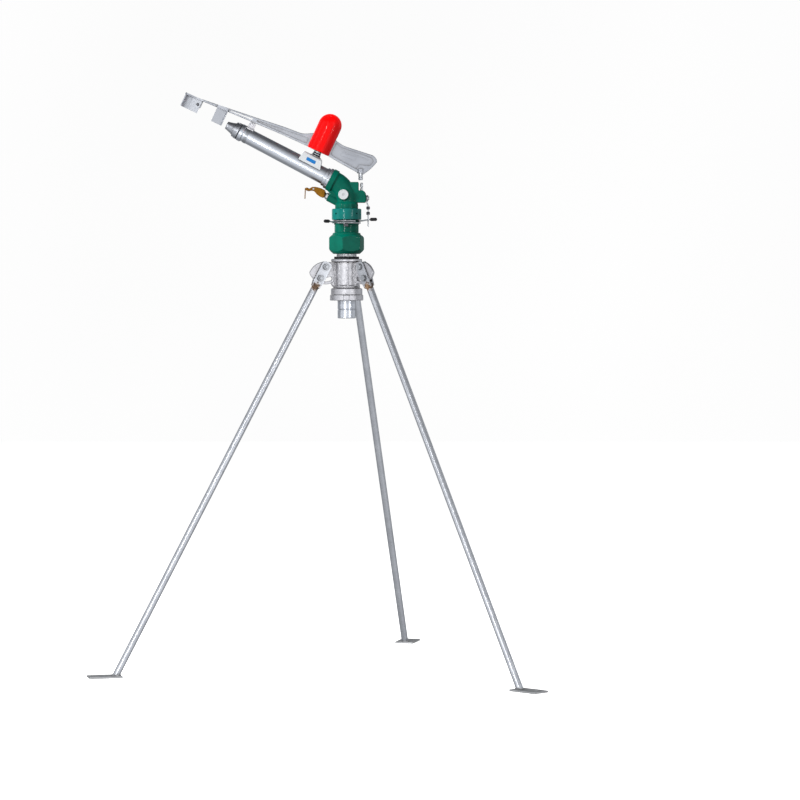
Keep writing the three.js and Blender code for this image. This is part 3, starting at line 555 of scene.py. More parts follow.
def tube(points, radius, sides=12, closed=False):
    """A round wire or bar along a line of points."""
    curve = bpy.data.curves.new("tube", "CURVE")
    curve.dimensions = "3D"
    curve.bevel_depth = radius
    curve.bevel_resolution = max(1, sides // 4 - 1)
    curve.use_fill_caps = not closed
    spline = curve.splines.new("POLY")
    spline.points.add(len(points) - 1)
    for point, place in zip(spline.points, points):
        point.co = (*place, 1)
    spline.use_cyclic_u = closed
    return baked(helper(curve))


def smooth_line(points, steps):
    """A Catmull-Rom line through the points."""
    points = [Vector(p) for p in points]
    out = []
    for i in range(len(points) - 1):
        a = points[max(i - 1, 0)]
        b, c = points[i], points[i + 1]
        d = points[min(i + 2, len(points) - 1)]
        for k in range(steps):
            t = k / steps
            bend = (2 * a - 5 * b + 4 * c - d) * t**2
            twist = (3 * b - a - 3 * c + d) * t**3
            out.append(0.5 * (2 * b + (c - a) * t + bend + twist))
    return out + [points[-1]]


def hexagon(corner, foot, crown, chamfer):
    """A hexagonal head about Z, with its corners turned off at the crown, above or below its foot."""
    prism = plate([arc(0, 0, corner, 0, 300, 5)], min(foot, crown), max(foot, crown), 0.25, "XY")
    way = 1 if crown > foot else -1
    turned_off = lathe([
        (0, foot - way), (corner + 1, foot - way), (corner + 1, crown - way * chamfer),
        (corner * 0.88, crown + way * 0.01), (0, crown + way),
    ], 48, 0)
    return common(prism, turned_off)


def threads(radius, low, high, pitch, depth):
    """Fine ridges, as a screw thread shows."""
    profile = [(0, low)]
    height = low
    while height + pitch < high:
        profile += [(radius - depth, height), (radius, height + pitch / 2)]
        height += pitch
    profile += [(radius - depth, height), (radius - depth, high), (0, high)]
    return lathe(profile, 40, 0)


def bolt(grip):
    """A hexagon bolt and nut about Z, tightened over a grip from -grip to +grip."""
    radius, corner = 5.0, 9.2
    washer, head, nut = 1.2, 6.4, 8.0
    return joined([
        ring(radius + 0.2, corner + 0.9, -grip - washer, -grip, 40, 0.3),
        hexagon(corner, -grip - washer, -grip - head, 1.98),
        rod(radius, -grip - 0.5, grip + 0.5, 32, 0.2),
        ring(radius + 0.2, corner + 0.9, grip, grip + washer, 40, 0.3),
        hexagon(corner, grip + washer, grip + nut, 1.98),
        threads(radius, grip + nut - 0.3, grip + nut + 3.8, 1.25, 0.45),
    ])


def even_shading(obj):
    """Large flat faces keep their own normal, so that a rounded edge doesn't shade across them."""
    weighted = obj.modifiers.new("weighted", "WEIGHTED_NORMAL")
    weighted.keep_sharp = True
    mesh = applied(obj)
    plain = obj.data
    obj.modifiers.clear()
    obj.data = mesh
    mesh.name = obj.name
    bpy.data.meshes.remove(plain)


def make(name, shape, place, body, material, replaced=None, sharp=40):
    """A piece of the object: shape in millimetres, placed by a matrix, riding on a CAD body.

    It may replace one CAD node, and edges steeper than sharp degrees stay crisp.
    """
    mesh = mesh_of(shape, place)
    mesh.name = name
    mesh.shade_smooth()
    mesh.set_sharp_from_angle(angle=radians(sharp))
    mesh.materials.append(material)
    obj = bpy.data.objects.new(name, mesh)
    scene.collection.objects.link(obj)
    even_shading(obj)
    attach(obj, body)
    if replaced:
        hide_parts(replaced)


# ---- CAD nodes that stay as they are

for subpart in frame["record"]["subparts"]:
    materials = nodes[subpart["node"]].data.materials
    materials.clear()
    materials.append(FINISHES[subpart["material_slot"]][0])

# ---- Stand

HEAD_TOP, HEAD_BOTTOM, HEAD_RADIUS = 1225, 1147, 37.5
PIPE = 30.15
PIPE_ROOM = PIPE + 0.35
EAR_HALF = 5.0
CLAMP_REACH = 38
BOLT_ROOM = 5.6
FOOT_THICKNESS = 5.0
LEGS = (1, 2, 3)


def head_ear():
    px, pz = PIVOT_RADIUS, PIVOT_HEIGHT
    rim = [(HEAD_RADIUS - 6, HEAD_TOP - 0.4), (px + 4, HEAD_TOP - 0.4)]
    shoulder = [Vector((px + 10, HEAD_TOP)), Vector((px + 34, HEAD_TOP - 4)), Vector((px + 48, pz - 14))]
    rim += corner_curve(*shoulder, 8)
    rim += arc(px, pz, 52, -20, -105, 18)
    rim += [(HEAD_RADIUS - 6, pz - 48)]
    outer = -90 + LEG_SPREAD + 1
    inner = -90 + LEG_SPREAD - 50
    outer_end, inner_end = arc(px, pz, CLAMP_REACH, outer, inner, 1)
    slot = arc(px, pz, CLAMP_REACH + BOLT_ROOM, outer, inner, 16)
    slot += arc(*inner_end, BOLT_ROOM, inner, inner - 180, 8)[1:]
    slot += arc(px, pz, CLAMP_REACH - BOLT_ROOM, inner, outer, 16)
    slot += arc(*outer_end, BOLT_ROOM, outer + 180, outer, 8)[1:]
    return plate([rim, slot, circle(px, pz, BOLT_ROOM)], -EAR_HALF, EAR_HALF, 0.9)


def make_head():
    body = lathe([
        (PIPE - 3, HEAD_BOTTOM), (HEAD_RADIUS + 3, HEAD_BOTTOM), (HEAD_RADIUS + 3, HEAD_BOTTOM + 5),
        (HEAD_RADIUS, HEAD_BOTTOM + 9), (HEAD_RADIUS, HEAD_TOP), (PIPE - 3, HEAD_TOP),
        (PIPE - 3, HEAD_BOTTOM),
    ], 96, 0.8)
    rib = block(HEAD_RADIUS - 4, HEAD_RADIUS + 2.6, -2.2, 2.2, HEAD_BOTTOM + 7, HEAD_TOP - 1.5, 1.0)
    web = block(HEAD_RADIUS - 8, HEAD_RADIUS + 6, -1.5, 1.5, HEAD_BOTTOM + 9, HEAD_TOP - 1, 1.0)
    gusset = slab([
        (HEAD_RADIUS - 4, 1151), (HEAD_RADIUS + 6, 1151, 3), (HEAD_RADIUS + 12, 1164, 3),
        (HEAD_RADIUS - 4, 1164),
    ], -7.5, 7.5, 1.2)
    parts = [body]
    for index in LEGS:
        around = leg_turn(index)
        parts.append(head_ear().moved(around))
        # Two ribs stand in each space between the ears, and a web thickens each side of an ear's root.
        for side in (-1, 1):
            parts.append(rib.moved(around @ turn(60 + side * 21, "Z")))
            parts.append(web.moved(around @ turn(side * 9.5, "Z")))
        parts.append(gusset.moved(around))
    skin = cast_of(joined(parts), 0.95, 4, 0.30)
    bore = rod(PIPE_ROOM, HEAD_BOTTOM - 2, HEAD_TOP + 2, 64, 0)
    trim = ring(20, 140, HEAD_TOP + 0.02, HEAD_TOP + 5, 64, 0)
    make("tripod_head_casting", cut(skin, bore, trim), GUN, "stand", CAST, "tripod_head", sharp=60)

    top_plate = lathe([
        (PIPE_ROOM, HEAD_TOP + 0.3), (44.5, HEAD_TOP + 0.3), (46.5, HEAD_TOP + 2.3),
        (46.5, HEAD_TOP + 7), (44.5, HEAD_TOP + 9), (39.5, HEAD_TOP + 9), (38.8, HEAD_TOP + 8.2),
        (PIPE_ROOM, HEAD_TOP + 8.2), (PIPE_ROOM, HEAD_TOP + 0.3),
    ], 96, 0.7)
    make("head_top_plate", top_plate, GUN, "stand", CAST, "head_flange")
    gasket = lathe([
        (PIPE_ROOM, 1234.3), (36.6, 1234.3), (37.5, 1235.2), (37.5, 1236.6), (36.4, 1237.5),
        (37.5, 1238.4), (37.5, 1240), (36.6, 1241), (PIPE_ROOM, 1241), (PIPE_ROOM, 1234.3),
    ], 80, 0.35)
    make("head_gasket_ring", gasket, GUN, "stand", RUBBER, "head_gasket")
    profile = [(26.2, 1182), (PIPE, 1182), (PIPE, 1241.5)]
    height = 1242.0
    while height < 1249:
        profile += [(PIPE - 0.9, height + 0.1), (PIPE, height + 0.9)]
        height += 1.5
    profile += [(PIPE - 0.4, 1250), (PIPE - 0.4, 1290), (26.2, 1290), (26.2, 1182)]
    make("riser_nipple_pipe", lathe(profile, 80, 0), GUN, "stand", PALE_ZINC, "riser_nipple", sharp=50)


def make_coupling():
    adaptor = lathe([
        (25, 1121), (39.5, 1121), (39.5, 1127), (47.2, 1127), (47.2, 1144), (43, 1146.6),
        (PIPE, 1146.6), (PIPE, 1178), (25, 1178), (25, 1121),
    ], 96, 0.8)
    make("coupling_adaptor_body", adaptor, GUN, "stand", CAST, "coupling_adaptor")
    body = lathe([
        (28, 1109.5), (48.5, 1109.5), (50, 1111), (50, 1125), (48.5, 1126.6), (40.5, 1126.6),
        (40.5, 1113.1), (28, 1113.1), (28, 1109.5),
    ], 96, 0)
    lug_line = [(45.5, -9, 2), (52.1, -8.6, 2.5), (52.1, 8.6, 2.5), (45.5, 9, 2)]
    lug = slab(lug_line, 1110.6, 1125.4, 1.2, "XY")
    ring_skin = cast_of(joined([body] + repeated(lug, 3, 30)), 0.7, 2, 0.35)
    make("coupling_locking_ring", ring_skin, GUN, "hose_coupling", CAST, "coupling_ring", sharp=60)
    tail = [
        (24, 1056), (25.6, 1056), (27.3, 1057.8), (27.3, 1080.9), (25.9, 1082.2), (25.9, 1083.8),
        (27.3, 1085.1), (27.3, 1101.4), (26.9, 1101.8), (27.3, 1102.2),
        (27.3, 1113.4), (39, 1113.4), (39, 1118.1), (24, 1118.1), (24, 1056),
    ]
    make("hose_tail_spigot", lathe(tail, 96, 0.6), GUN, "stand", POLISHED, "hose_tail")


def ragged(shape, size, scale, seed):
    """The shape with its skin moved in and out a little, as a weld bead or a cast skin is."""
    mesh = mesh_of(shape)
    points = []
    for vertex in mesh.vertices:
        place = vertex.co * scale + Vector((seed, seed * 1.7, -seed))
        points.append(vertex.co + vertex.normal * noise.noise(place) * size)
    out = Shape(points, [tuple(f.vertices) for f in mesh.polygons])
    bpy.data.meshes.remove(mesh)
    return out


def weld_bead(middle_x, reach_x, reach_y, height, count, thickness, *skin):
    """A rough bead round a pipe, in the XY plane."""
    points = []
    for k in range(count):
        angle = 2 * pi * k / count
        points.append((middle_x + reach_x * cos(angle), reach_y * sin(angle), height))
    return ragged(tube(points, thickness, 12, True), *skin)


def make_leg_piece(index, name, shape, material, replaced, place=None, body=None):
    leg = f"leg_{index}"
    place = place or leg_frame(index)
    make(f"{leg}_{name}", shape, place, body or leg, material, f"{leg}_{replaced}")


def make_straps(index):
    """The two flat straps beside the ear, closed below by a bridge that the pipe is welded to."""
    inner, outer = EAR_HALF + 0.4, EAR_HALF + 5.4
    half = 15.5
    face = outline([
        (-half, 15, 12), (half, 15, 12), (half, -50, 4), (11.65, -67.65), (-11.65, -67.65),
        (-half, -50, 4),
    ])
    holes = [circle(0, z, BOLT_ROOM) for z in (0, -CLAMP_REACH)]
    straps = [plate([face] + holes, low, high, 0.6) for low, high in ((-outer, -inner), (inner, outer))]
    bridge = block(-11.4, 11.4, -outer + 0.2, outer - 0.2, -67.6, -55.0, 1.0)
    spigot = rod(7.7, -94, -66, 32)
    bead = weld_bead(0, 10.6, 10.2, -67.3, 48, 1.7, 0.7, 0.35, 3.1 * index)
    clevis = joined(straps + [bridge, spigot, bead])
    make_leg_piece(index, "clevis_straps", clevis, SCORCHED, "clevis")


def make_pipe(index):
    """A pipe that ends level with the top of its foot plate."""
    spread = radians(LEG_SPREAD)
    drop = FOOT_THICKNESS + 0.3 - PIVOT_HEIGHT
    heights = [-68.0, -68.6, -72, -76, -80, -85, -90, -96, -104, -114]
    heights += [-300, -500, -700, -900, -1100, -1240]
    sides = 48
    angles = [2 * pi * k / sides for k in range(sides)]
    points, faces = [], []
    for radius, rim in ((10.65, 10.15), (8.05, 8.05)):
        for height in heights:
            r = rim if height == heights[0] else radius
            points += [(r * cos(a), r * sin(a), height) for a in angles]
        for a in angles:
            x = radius * cos(a)
            points.append((x, radius * sin(a), (drop - x * sin(spread)) / cos(spread)))
    inside = (len(heights) + 1) * sides
    pairs = [(k, (k + 1) % sides) for k in range(sides)]
    for a in range(0, inside - sides, sides):
        b = inside + a
        for k, n in pairs:
            faces.append((a + k, a + n, a + sides + n, a + sides + k))
            faces.append((b + n, b + k, b + sides + k, b + sides + n))
    for a in (0, inside - sides):
        b = inside + a
        faces += [(a + k, b + k, b + n, a + n) for k, n in pairs]
    make_leg_piece(index, "pipe", Shape(points, faces), SCORCHED, "tube")


def make_foot(index):
    spread = radians(LEG_SPREAD)
    landing = PIVOT_RADIUS + PIVOT_HEIGHT * tan(spread)
    heel, toe = landing - 18, landing + 80
    rim = outline([(heel, -30, 3), (toe, -30, 3), (toe, 30, 3), (heel, 30, 3)])
    sole = plate([rim, circle(toe - 22, 0, 6)], 0.0, FOOT_THICKNESS, 0.6, "XY")
    bead = weld_bead(landing - 2.8, 11.2 / cos(spread), 11.2, 6.2, 40, 2.2, 0.8, 0.3, 7.7 * index)
    welded = joined([sole, bead])
    make_leg_piece(index, "foot_plate", welded, PLATE_ZINC, "foot", place=GUN @ leg_turn(index))


def make_bolts(index):
    """The pivot bolt stays with the stand, and the clamp bolt swings with the leg."""
    pivot = bolt(EAR_HALF + 5.8).moved(turn(-90, "X"))
    make_leg_piece(index, "pivot_bolt_and_nut", pivot, STEEL, "pivot_bolt", body="stand")
    down = shift(0, 0, -CLAMP_REACH) @ turn(-90, "X") @ turn(17 * index, "Z")
    clamp = bolt(EAR_HALF + 5.8).moved(down)
    make_leg_piece(index, "clamp_bolt_and_nut", clamp, STEEL, "clamp_bolt")


make_head()
make_coupling()
for leg in LEGS:
    make_straps(leg)
    make_pipe(leg)
    make_foot(leg)
    make_bolts(leg)

# ---- Swivel base

INLET_BOTTOM, HEX_TOP, INLET_TOP = 1249, 1306, 1350.5
HEX_CORNER, HEX_TURN = 55, -11.7


def make_inlet():
    sides = arc(0, 0, HEX_CORNER, HEX_TURN - 90, HEX_TURN + 210, 5)
    prism = plate([sides], INLET_BOTTOM, HEX_TOP, 0.3, "XY")
    turned_off = lathe([
        (0, INLET_BOTTOM - 0.1), (39.6, INLET_BOTTOM - 0.1), (HEX_CORNER + 0.1, INLET_BOTTOM + 14),
        (HEX_CORNER + 0.1, 1297), (43.3, HEX_TOP + 0.1), (0, HEX_TOP + 0.1),
    ], 96, 0)
    hexagonal = common(prism, turned_off)
    neck = lathe([
        (0, 1293), (39, 1293), (42, 1297), (42, 1310), (40, 1312), (35.25, 1312), (35.25, 1335),
        (37.4, 1337), (37.4, INLET_TOP), (0, INLET_TOP),
    ], 96, 0.8)
    seam = repeated(block(33, 36.1, -0.9, 0.9, 1313, 1334, 0.4), 2)
    skin = cast_of(joined([hexagonal, neck] + seam), 0.8, 3, 0.4)
    bores = [
        rod(PIPE_ROOM, 1240, 1291, 64, 0),
        rod(25, 1280, 1360, 64, 0),
        rod(28.35, 1299, 1360, 64, 0),
        ring(20, 60, INLET_TOP - 0.02, INLET_TOP + 4, 64, 0),
        ring(20, 60, 1240, INLET_BOTTOM + 0.02, 64, 0),
    ]
    make("inlet_casting", cut(skin, *bores), GUN, "stand", GREEN, "inlet_body", sharp=42)


COLLARS = ((1, -30, 1347.4), (2, -128, 1341.6))


def make_collar(index, finger, height):
    def at(around, radius, z):
        angle = radians(finger + around)
        return (radius * cos(angle), radius * sin(angle), z)

    points = [at(0, 104 - 20.3, height + 3.55), at(0, 75, height + 3), at(0, 52, height)]
    points += [at(around, 40.7, height) for around in range(8, 331, 14)]
    points.append(at(338, 44.7, height - 0.5))
    wire_shape = tube(smooth_line(points, 5), 2.2, 16)
    make(
        f"stop_collar_{index}_wire", wire_shape, GUN, f"stop_{index}", STEEL, f"stop_collar_{index}",
        sharp=50,
    )
    profile = [(0, 84)]
    x = 84.0
    while x < 101:
        profile += [(4.6, x + 0.2), (5.0, x + 0.9), (5.0, x + 1.6), (4.6, x + 2.3)]
        x += 2.5
    profile += [(4.7, 102.4), (3.6, 104), (0, 104)]
    sleeve = lathe(profile, 32, 0).moved(turn(finger, "Z") @ shift(0, 0, height + 4) @ ALONG_X)
    make(f"stop_collar_{index}_sleeve", sleeve, GUN, f"stop_{index}", RUBBER, f"stop_grip_{index}")


def make_clip():
    """The dark clip that keeps the lower wire's loop together, hanging below it."""
    clip = block(40.4, 44.6, -6.5, 6.5, 1330.5, 1338.6, 0.9).moved(turn(-92, "Z"))
    make("stop_wire_clip", clip, GUN, "stop_2", DARK_STEEL)


make_inlet()
for collar in COLLARS:
    make_collar(*collar)
make_clip()

# ---- Swivelling body

SLEEVE_BOTTOM, SLEEVE_TOP = 1351, 1384
NECK_RADIUS = 34.5
ELBOW_RADIUS, ELBOW_BEND = 30.5, 60
PLUG_X, PLUG_HEIGHT = -9, 1426
REVERSER_HEIGHT = 1416
TRIP_ROD_X = 64.5
ALONG_BARREL = shift(*FLANGE_FACE) @ turn(BARREL_ANGLE - 90, "Y")
SPREADER = shift(-55.5, 0, 1420) @ turn(BARREL_ANGLE - 90, "Y")


def elbow_line(bottom):
    slope = radians(BARREL_ANGLE)
    bend = pi / 2 - slope
    along = -FLANGE_FACE[0] / cos(slope)
    lead = along - ELBOW_BEND * tan(bend / 2)
    bend_end = FLANGE_FACE[2] - along * sin(slope) - ELBOW_BEND * tan(bend / 2)
    away = Vector((cos(slope), 0, -sin(slope)))
    points = [Vector(FLANGE_FACE) + away * (lead * k / 2) for k in range(2)]
    for k in range(21):
        angle = bend * (1 - k / 20)
        inward = ELBOW_BEND * (cos(angle) - 1)
        points.append(Vector((inward, 0, bend_end + ELBOW_BEND * sin(angle))))
    return points + [Vector((0, 0, bottom))]


def make_elbow():
    bottom = SLEEVE_TOP - 11.7
    back = [
        (0, 1402), (58, 1402, 4), (58, 1431, 4), (50, 1439, 4), (36.5, 1439), (36.5, 1464, 4),
        (12, 1464, 4), (0, 1450),
    ]
    web = [(-62, 1443, 2), (-53.5, 1433.5, 2), (-49, 1426), (-20, 1412), (-20, 1445), (-44, 1452)]
    parts = [
        tube(elbow_line(bottom + 10), ELBOW_RADIUS, 64),
        lathe([
            (0, bottom), (NECK_RADIUS, bottom), (NECK_RADIUS, 1398), (ELBOW_RADIUS, 1404), (0, 1404),
        ], 80, 0.5),
        rod(34, -16, -0.35, 80, 1.2).moved(ALONG_BARREL),
        slab(back, -18, 18, 1.6),
        slab(web, -11, 11, 1.6),
        cross_rod(17.5, PLUG_X, PLUG_HEIGHT, -33.5, 0, 64, 1.0),
        rod(13, -36, -0.05, 48, 1.0).moved(SPREADER),
        long_rod(10.5, REVERSER_HEIGHT, 52, 59.4, 40, 1.2),
        block(-16, 16, -32.2, -26, 1378, 1401, 2.5),
    ]
    for side in (-1, 1):
        parts.append(block(-30, 30, side * 1.1 - 0.9, side * 1.1 + 0.9, 1404, 1406, 0.5))
    skin = cast_of(joined(parts), 0.85, 4, 0.32)
    cutters = [
        long_rod(5.35, REVERSER_HEIGHT, 34, 62, 40, 0),
        block(38.5, 51.5, -13.5, 13.5, 1406, 1446, 1.2),
        ring(10, 60, -0.3, 6, 80, 0).moved(ALONG_BARREL),
        rod(7.4, -20, 1, 32, 0).moved(SPREADER),
        ring(NECK_RADIUS + 0.02, 60, SLEEVE_TOP - 12, SLEEVE_TOP + 0.3, 96, 0),
        rod(60, 1360, bottom + 0.01, 48, 0),
    ]
    make("elbow_casting", cut(skin, *cutters), GUN, "gun", GREEN, "elbow", sharp=42)

    disc = lathe([
        (0, 0), (14.6, 0), (15, 0.5), (15, 1.7), (14.2, 2.55), (12.8, 2.55), (12.2, 2.05), (0, 2.05),
    ], 72, 0.3)
    socket = plate([arc(0, 0, 4, 0, 300, 5)], 0.8, 4, 0.05, "XY")
    to_front = shift(PLUG_X, -33.9, PLUG_HEIGHT) @ turn(90, "X")
    make("side_plug_disc", cut(disc, socket), GUN @ to_front, "gun", WHITE, "side_plug")

    sleeve = lathe([
        (28.7, SLEEVE_BOTTOM), (42.75, SLEEVE_BOTTOM), (44.25, SLEEVE_BOTTOM + 1.5),
        (44.25, SLEEVE_TOP - 2), (42.25, SLEEVE_TOP), (NECK_RADIUS + 0.35, SLEEVE_TOP),
        (NECK_RADIUS + 0.35, SLEEVE_BOTTOM + 7.3), (28.7, SLEEVE_BOTTOM + 7.3), (28.7, SLEEVE_BOTTOM),
    ], 112, 0.8)
    notches = repeated(long_rod(2.6, SLEEVE_TOP - 15, 40.5, 46, 24, 0), 4, 45)
    make("swivel_sleeve_ring", cut(sleeve, *notches), GUN, "gun", TEAL, "swivel_sleeve")


def make_spreader():
    nozzle = lathe([
        (3.5, -14), (7, -14), (7, 7.4), (7.6, 7.9), (7.4, 11), (6.9, 12), (6.3, 31), (6.9, 31.6),
        (6.9, 33.4), (6.2, 34), (3.5, 34), (3.5, -14),
    ], 48, 0.3)
    make("spreader_tube", nozzle, GUN @ SPREADER, "gun", BRASS, "spreader_nozzle")
    collar = cut(hexagon(10.5, 0.4, 7.0, 1.54), rod(7.2, -1, 9, 32, 0))
    make("spreader_collar", collar, GUN @ SPREADER, "gun", PLATE_ZINC, sharp=34)
    upper = [
        (-63.5, 1439), (-76.5, 1445.5), (-91.5, 1449.4), (-103.5, 1449.4), (-111, 1443.5),
        (-117, 1447.6), (-123, 1446.4),
    ]
    lower = [
        (-123, 1440), (-114, 1436.5), (-105, 1438.5), (-97.5, 1437), (-90, 1428), (-79.5, 1420),
        (-68.5, 1416.5),
    ]
    cheek = eased(upper + lower, 3.2, True, 4)
    under = [(x - 0.8, z - 3.2) for x, z in upper][::-1]
    crown = eased(upper + under, 1.6, True, 4)
    hook = [(-122, 1446), (-124.6, 1446), (-126, 1414), (-123.4, 1414)]
    skin = cast_of(joined([
        plate([crown], -12, 12, 0.4),
        plate([cheek], -12, -9.3, 0.4),
        plate([cheek], 9.3, 12, 0.4),
        plate([hook], -9, 9, 0.4),
        ring(7.9, 10.4, 12, 18, 48).moved(SPREADER),
    ]), 0.55, 2, 0.4)
    bracket = cut(skin, rod(7.9, -5, 40, 40, 0).moved(SPREADER))
    make("spreader_bracket", bracket, GUN, "gun", BRASS, "spreader_deflector")
    screw_place = (-99, 1443.4)
    head = cross_rod(2.6, *screw_place, -13.6, -12.0, 24, 0.4)
    shank = cross_rod(1.8, *screw_place, -12.4, 12.4, 16, 0)
    make("spreader_screw", joined([head, shank]), GUN, "gun", STEEL)


# ---- Barrel: along Z from the flange face, with X upwards

BARREL_LENGTH = 299
NOZZLE_REAR, NOZZLE_FRONT = 307.7, 349


def barrel_radius(z):
    return 25.3 + (23.0 - 25.3) * z / BARREL_LENGTH


def make_barrel():
    tube_profile = [(22.3, 0.3), (25.3, 0.3), (23.0, BARREL_LENGTH), (20.0, BARREL_LENGTH), (22.3, 0.3)]
    make("barrel_tube", lathe(tube_profile, 112, 0.3), BARREL, "gun", POLISHED, "barrel")
    flange = lathe(
        [(25.65, 0.3), (32, 0.3), (32, 8), (28.6, 9.5), (28.6, 18), (25.65, 18), (25.65, 0.3)], 96, 0.7
    )
    slots = repeated(block(28.2, 34, -2.9, 2.9, 2.6, 12, 0.3), 10, 18)
    make("barrel_ring_nut", cut(flange, *slots), BARREL, "gun", POLISHED, "barrel_flange")
    packing = repeated(block(26.2, 28.0, -2.6, 2.6, 3.0, 11.6, 0.2), 10, 18)
    make("barrel_ring_nut_packing", joined(packing), BARREL, "gun", RUBBER)

    bore = barrel_radius(292) + 0.35
    holder = lathe([
        (bore, 292.6), (24.8, 292.6), (26.2, 294), (26.2, 304), (25.2, 305.4), (20.5, 305.4),
        (20.5, BARREL_LENGTH + 0.4), (bore, BARREL_LENGTH + 0.4), (bore, 292.6),
    ], 96, 0.5)
    make("nozzle_holder_ring", holder, BARREL, "gun", POLISHED, "nozzle_holder")
    gasket = ring(20.5, 24.6, 305.8, 307.3, 80, 0.2)
    make("nozzle_gasket_ring", gasket, BARREL, "gun", RUBBER, "nozzle_gasket")
    nut = lathe([
        (20.9, NOZZLE_REAR), (25, NOZZLE_REAR), (25, NOZZLE_REAR + 4.3), (22.6, NOZZLE_REAR + 15.3),
        (19, NOZZLE_REAR + 15.3), (20.9, NOZZLE_REAR + 8.3), (20.9, NOZZLE_REAR),
    ], 96, 0.4)
    lug = slab([
        (21.5, NOZZLE_REAR + 1.3), (25.9, NOZZLE_REAR + 1.3, 0.8), (25.9, NOZZLE_REAR + 8, 1.5),
        (22.4, NOZZLE_REAR + 12),
    ], -2.2, 2.2, 0.5)
    lugged = joined([nut] + repeated(lug, 8, 22.5))
    make("nozzle_lugged_nut", lugged, BARREL, "gun", NOZZLE_METAL, "nozzle_nut")
    cone = lathe([
        (17.5, NOZZLE_REAR), (20.5, NOZZLE_REAR), (20.5, NOZZLE_REAR + 7.9),
        (18.6, NOZZLE_REAR + 15.1), (18.6, NOZZLE_REAR + 17.3), (17.4, NOZZLE_REAR + 20.6),
        (16.9, NOZZLE_REAR + 20.8), (12.4, 344.2), (12.6, 345.4), (11.2, NOZZLE_FRONT),
        (9, NOZZLE_FRONT), (9, 344), (17.5, NOZZLE_REAR),
    ], 96, 0.4)
    make("nozzle_cone", cone, BARREL, "gun", NOZZLE_METAL, "nozzle")

    near = barrel_radius(280)
    saddle = ring(near + 0.5, near + 4, 260, 300, 96, 0)
    foot = common(block(0, 30, -14, 14, 269, 292, 0.4), saddle)
    pad = block(near, 42.3, -12.4, -6.5, 271, 290, 0.8)
    rib = slab([(near + 2, 275), (37, 275, 2), (41, 286, 2), (near + 2, 286)], -13.8, -11.5, 0.6)
    anvil = cast_of(joined([foot, pad, rib]), 0.6, 2, 0.45)
    room = rod(near + 0.45, 250, 310, 96, 0)
    make("anvil_casting", cut(anvil, room), BARREL, "gun", CAST, "anvil", sharp=42)
    make("anvil_band", ring(near + 0.25, near + 1.0, 276, 285, 96, 0.2), BARREL, "gun", STEEL)


SEAT_TOP = -16
PIN_ROOM = 6.35
ARM_FROM_BARREL = BARREL.inverted() @ ARM


def washers(*sizes):
    """Washers on the arm pin, each as (radius, low, high)."""
    return joined([ring(PIN_ROOM, radius, low, high, 56, 0.4) for radius, low, high in sizes])


def make_seat():
    end_view = [(9, -30, 2), (36, -30, 6), (40, -18, 6), (40, 18, 6), (36, 30, 6), (9, 30, 2)]
    side_view = [(5, 36, 6), (42, 48, 7), (42, 106, 10), (5, 112, 12)]
    body = common(slab(end_view, 30, 115, 0.2, "XY"), slab(side_view, -32, 32, 0.2))
    boss = rod(17, SEAT_TOP - 14, SEAT_TOP, 64, 0.8).moved(ARM_FROM_BARREL)
    skin = cast_of(joined([body, boss]), 0.7, 3, 0.35)
    cutters = [
        rod(25.65, 0, 150, 112, 0),
        rod(PIN_ROOM, -60, 4, 32, 0).moved(ARM_FROM_BARREL),
        rod(40, SEAT_TOP + 0.02, SEAT_TOP + 8, 48, 0).moved(ARM_FROM_BARREL),
    ]
    make("arm_seat_casting", cut(skin, *cutters), BARREL, "gun", WHITE, "arm_seat", sharp=42)
    panel = [(17.5, 60, 3.5), (27.5, 60, 3.5), (27.5, 90, 3.5), (17.5, 90, 3.5)]
    make("arm_seat_blank_panel", slab(panel, -30.35, -29.7, 0.12), BARREL, "gun", BLUE)
    soft = washers((12.8, -15.6, -12.4), (11.6, -9.5, -6.3))
    make("seat_washers_rubber", soft, ARM, "gun", RUBBER, "seat_washer")
    make("seat_washers_steel", washers((12.6, -12.3, -9.6), (11.2, -6.2, -1.9)), ARM, "gun", STEEL)


# ---- Reversing gear


def make_reverser():
    pawl = joined([
        long_rod(5, REVERSER_HEIGHT, 35, 68, 48, 0.8),
        long_rod(8, REVERSER_HEIGHT, 40, 50, 56, 1.0),
        lathe([
            (0, REVERSER_HEIGHT), (4.2, REVERSER_HEIGHT), (4.2, 1443), (3.4, 1445), (3.4, 1448),
            (4.2, 1450), (4.2, 1460), (3.2, 1462), (0, 1462),
        ], 40, 0.6).moved(shift(45, 0, 0)),
    ])
    make("reversing_lever", pawl, GUN, "trip_lever", STEEL, "reversing_pawl")
    line = smooth_line([
        (61.6, 0, REVERSER_HEIGHT - 8.4), (62, 0, REVERSER_HEIGHT - 16),
        (TRIP_ROD_X, 0, REVERSER_HEIGHT - 26), (TRIP_ROD_X, 0, REVERSER_HEIGHT - 46),
        (TRIP_ROD_X, 0, 1330.1),
    ], 8)
    eye = ring(5.35, 8.9, 59.8, 65, 56, 0.9).moved(shift(0, 0, REVERSER_HEIGHT) @ ALONG_X)
    make("trip_wire", joined([eye, tube(line, 2.05, 16)]), GUN, "trip_lever", STEEL, "trip_rod")

    def knob(low, high):
        middle_height = (low + high) / 2
        return lathe([
            (2.2, low), (4.4, low), (5.5, low + 1.6), (5.5, middle_height - 0.7),
            (5.0, middle_height), (5.5, middle_height + 0.7), (5.5, high - 1.6), (4.4, high),
            (2.2, high), (2.2, low),
        ], 40, 0.4).moved(shift(TRIP_ROD_X, 0, 0))

    knobs = [knob(REVERSER_HEIGHT - drop, REVERSER_HEIGHT - drop + 9) for drop in (34, 50)]
    make("trip_wire_knobs", joined(knobs), GUN, "trip_lever", DARK_STEEL)


make_elbow()
make_spreader()
make_barrel()
make_seat()
make_reverser()

# ---- Rocker arm: Z up the arm pin, X towards the tail

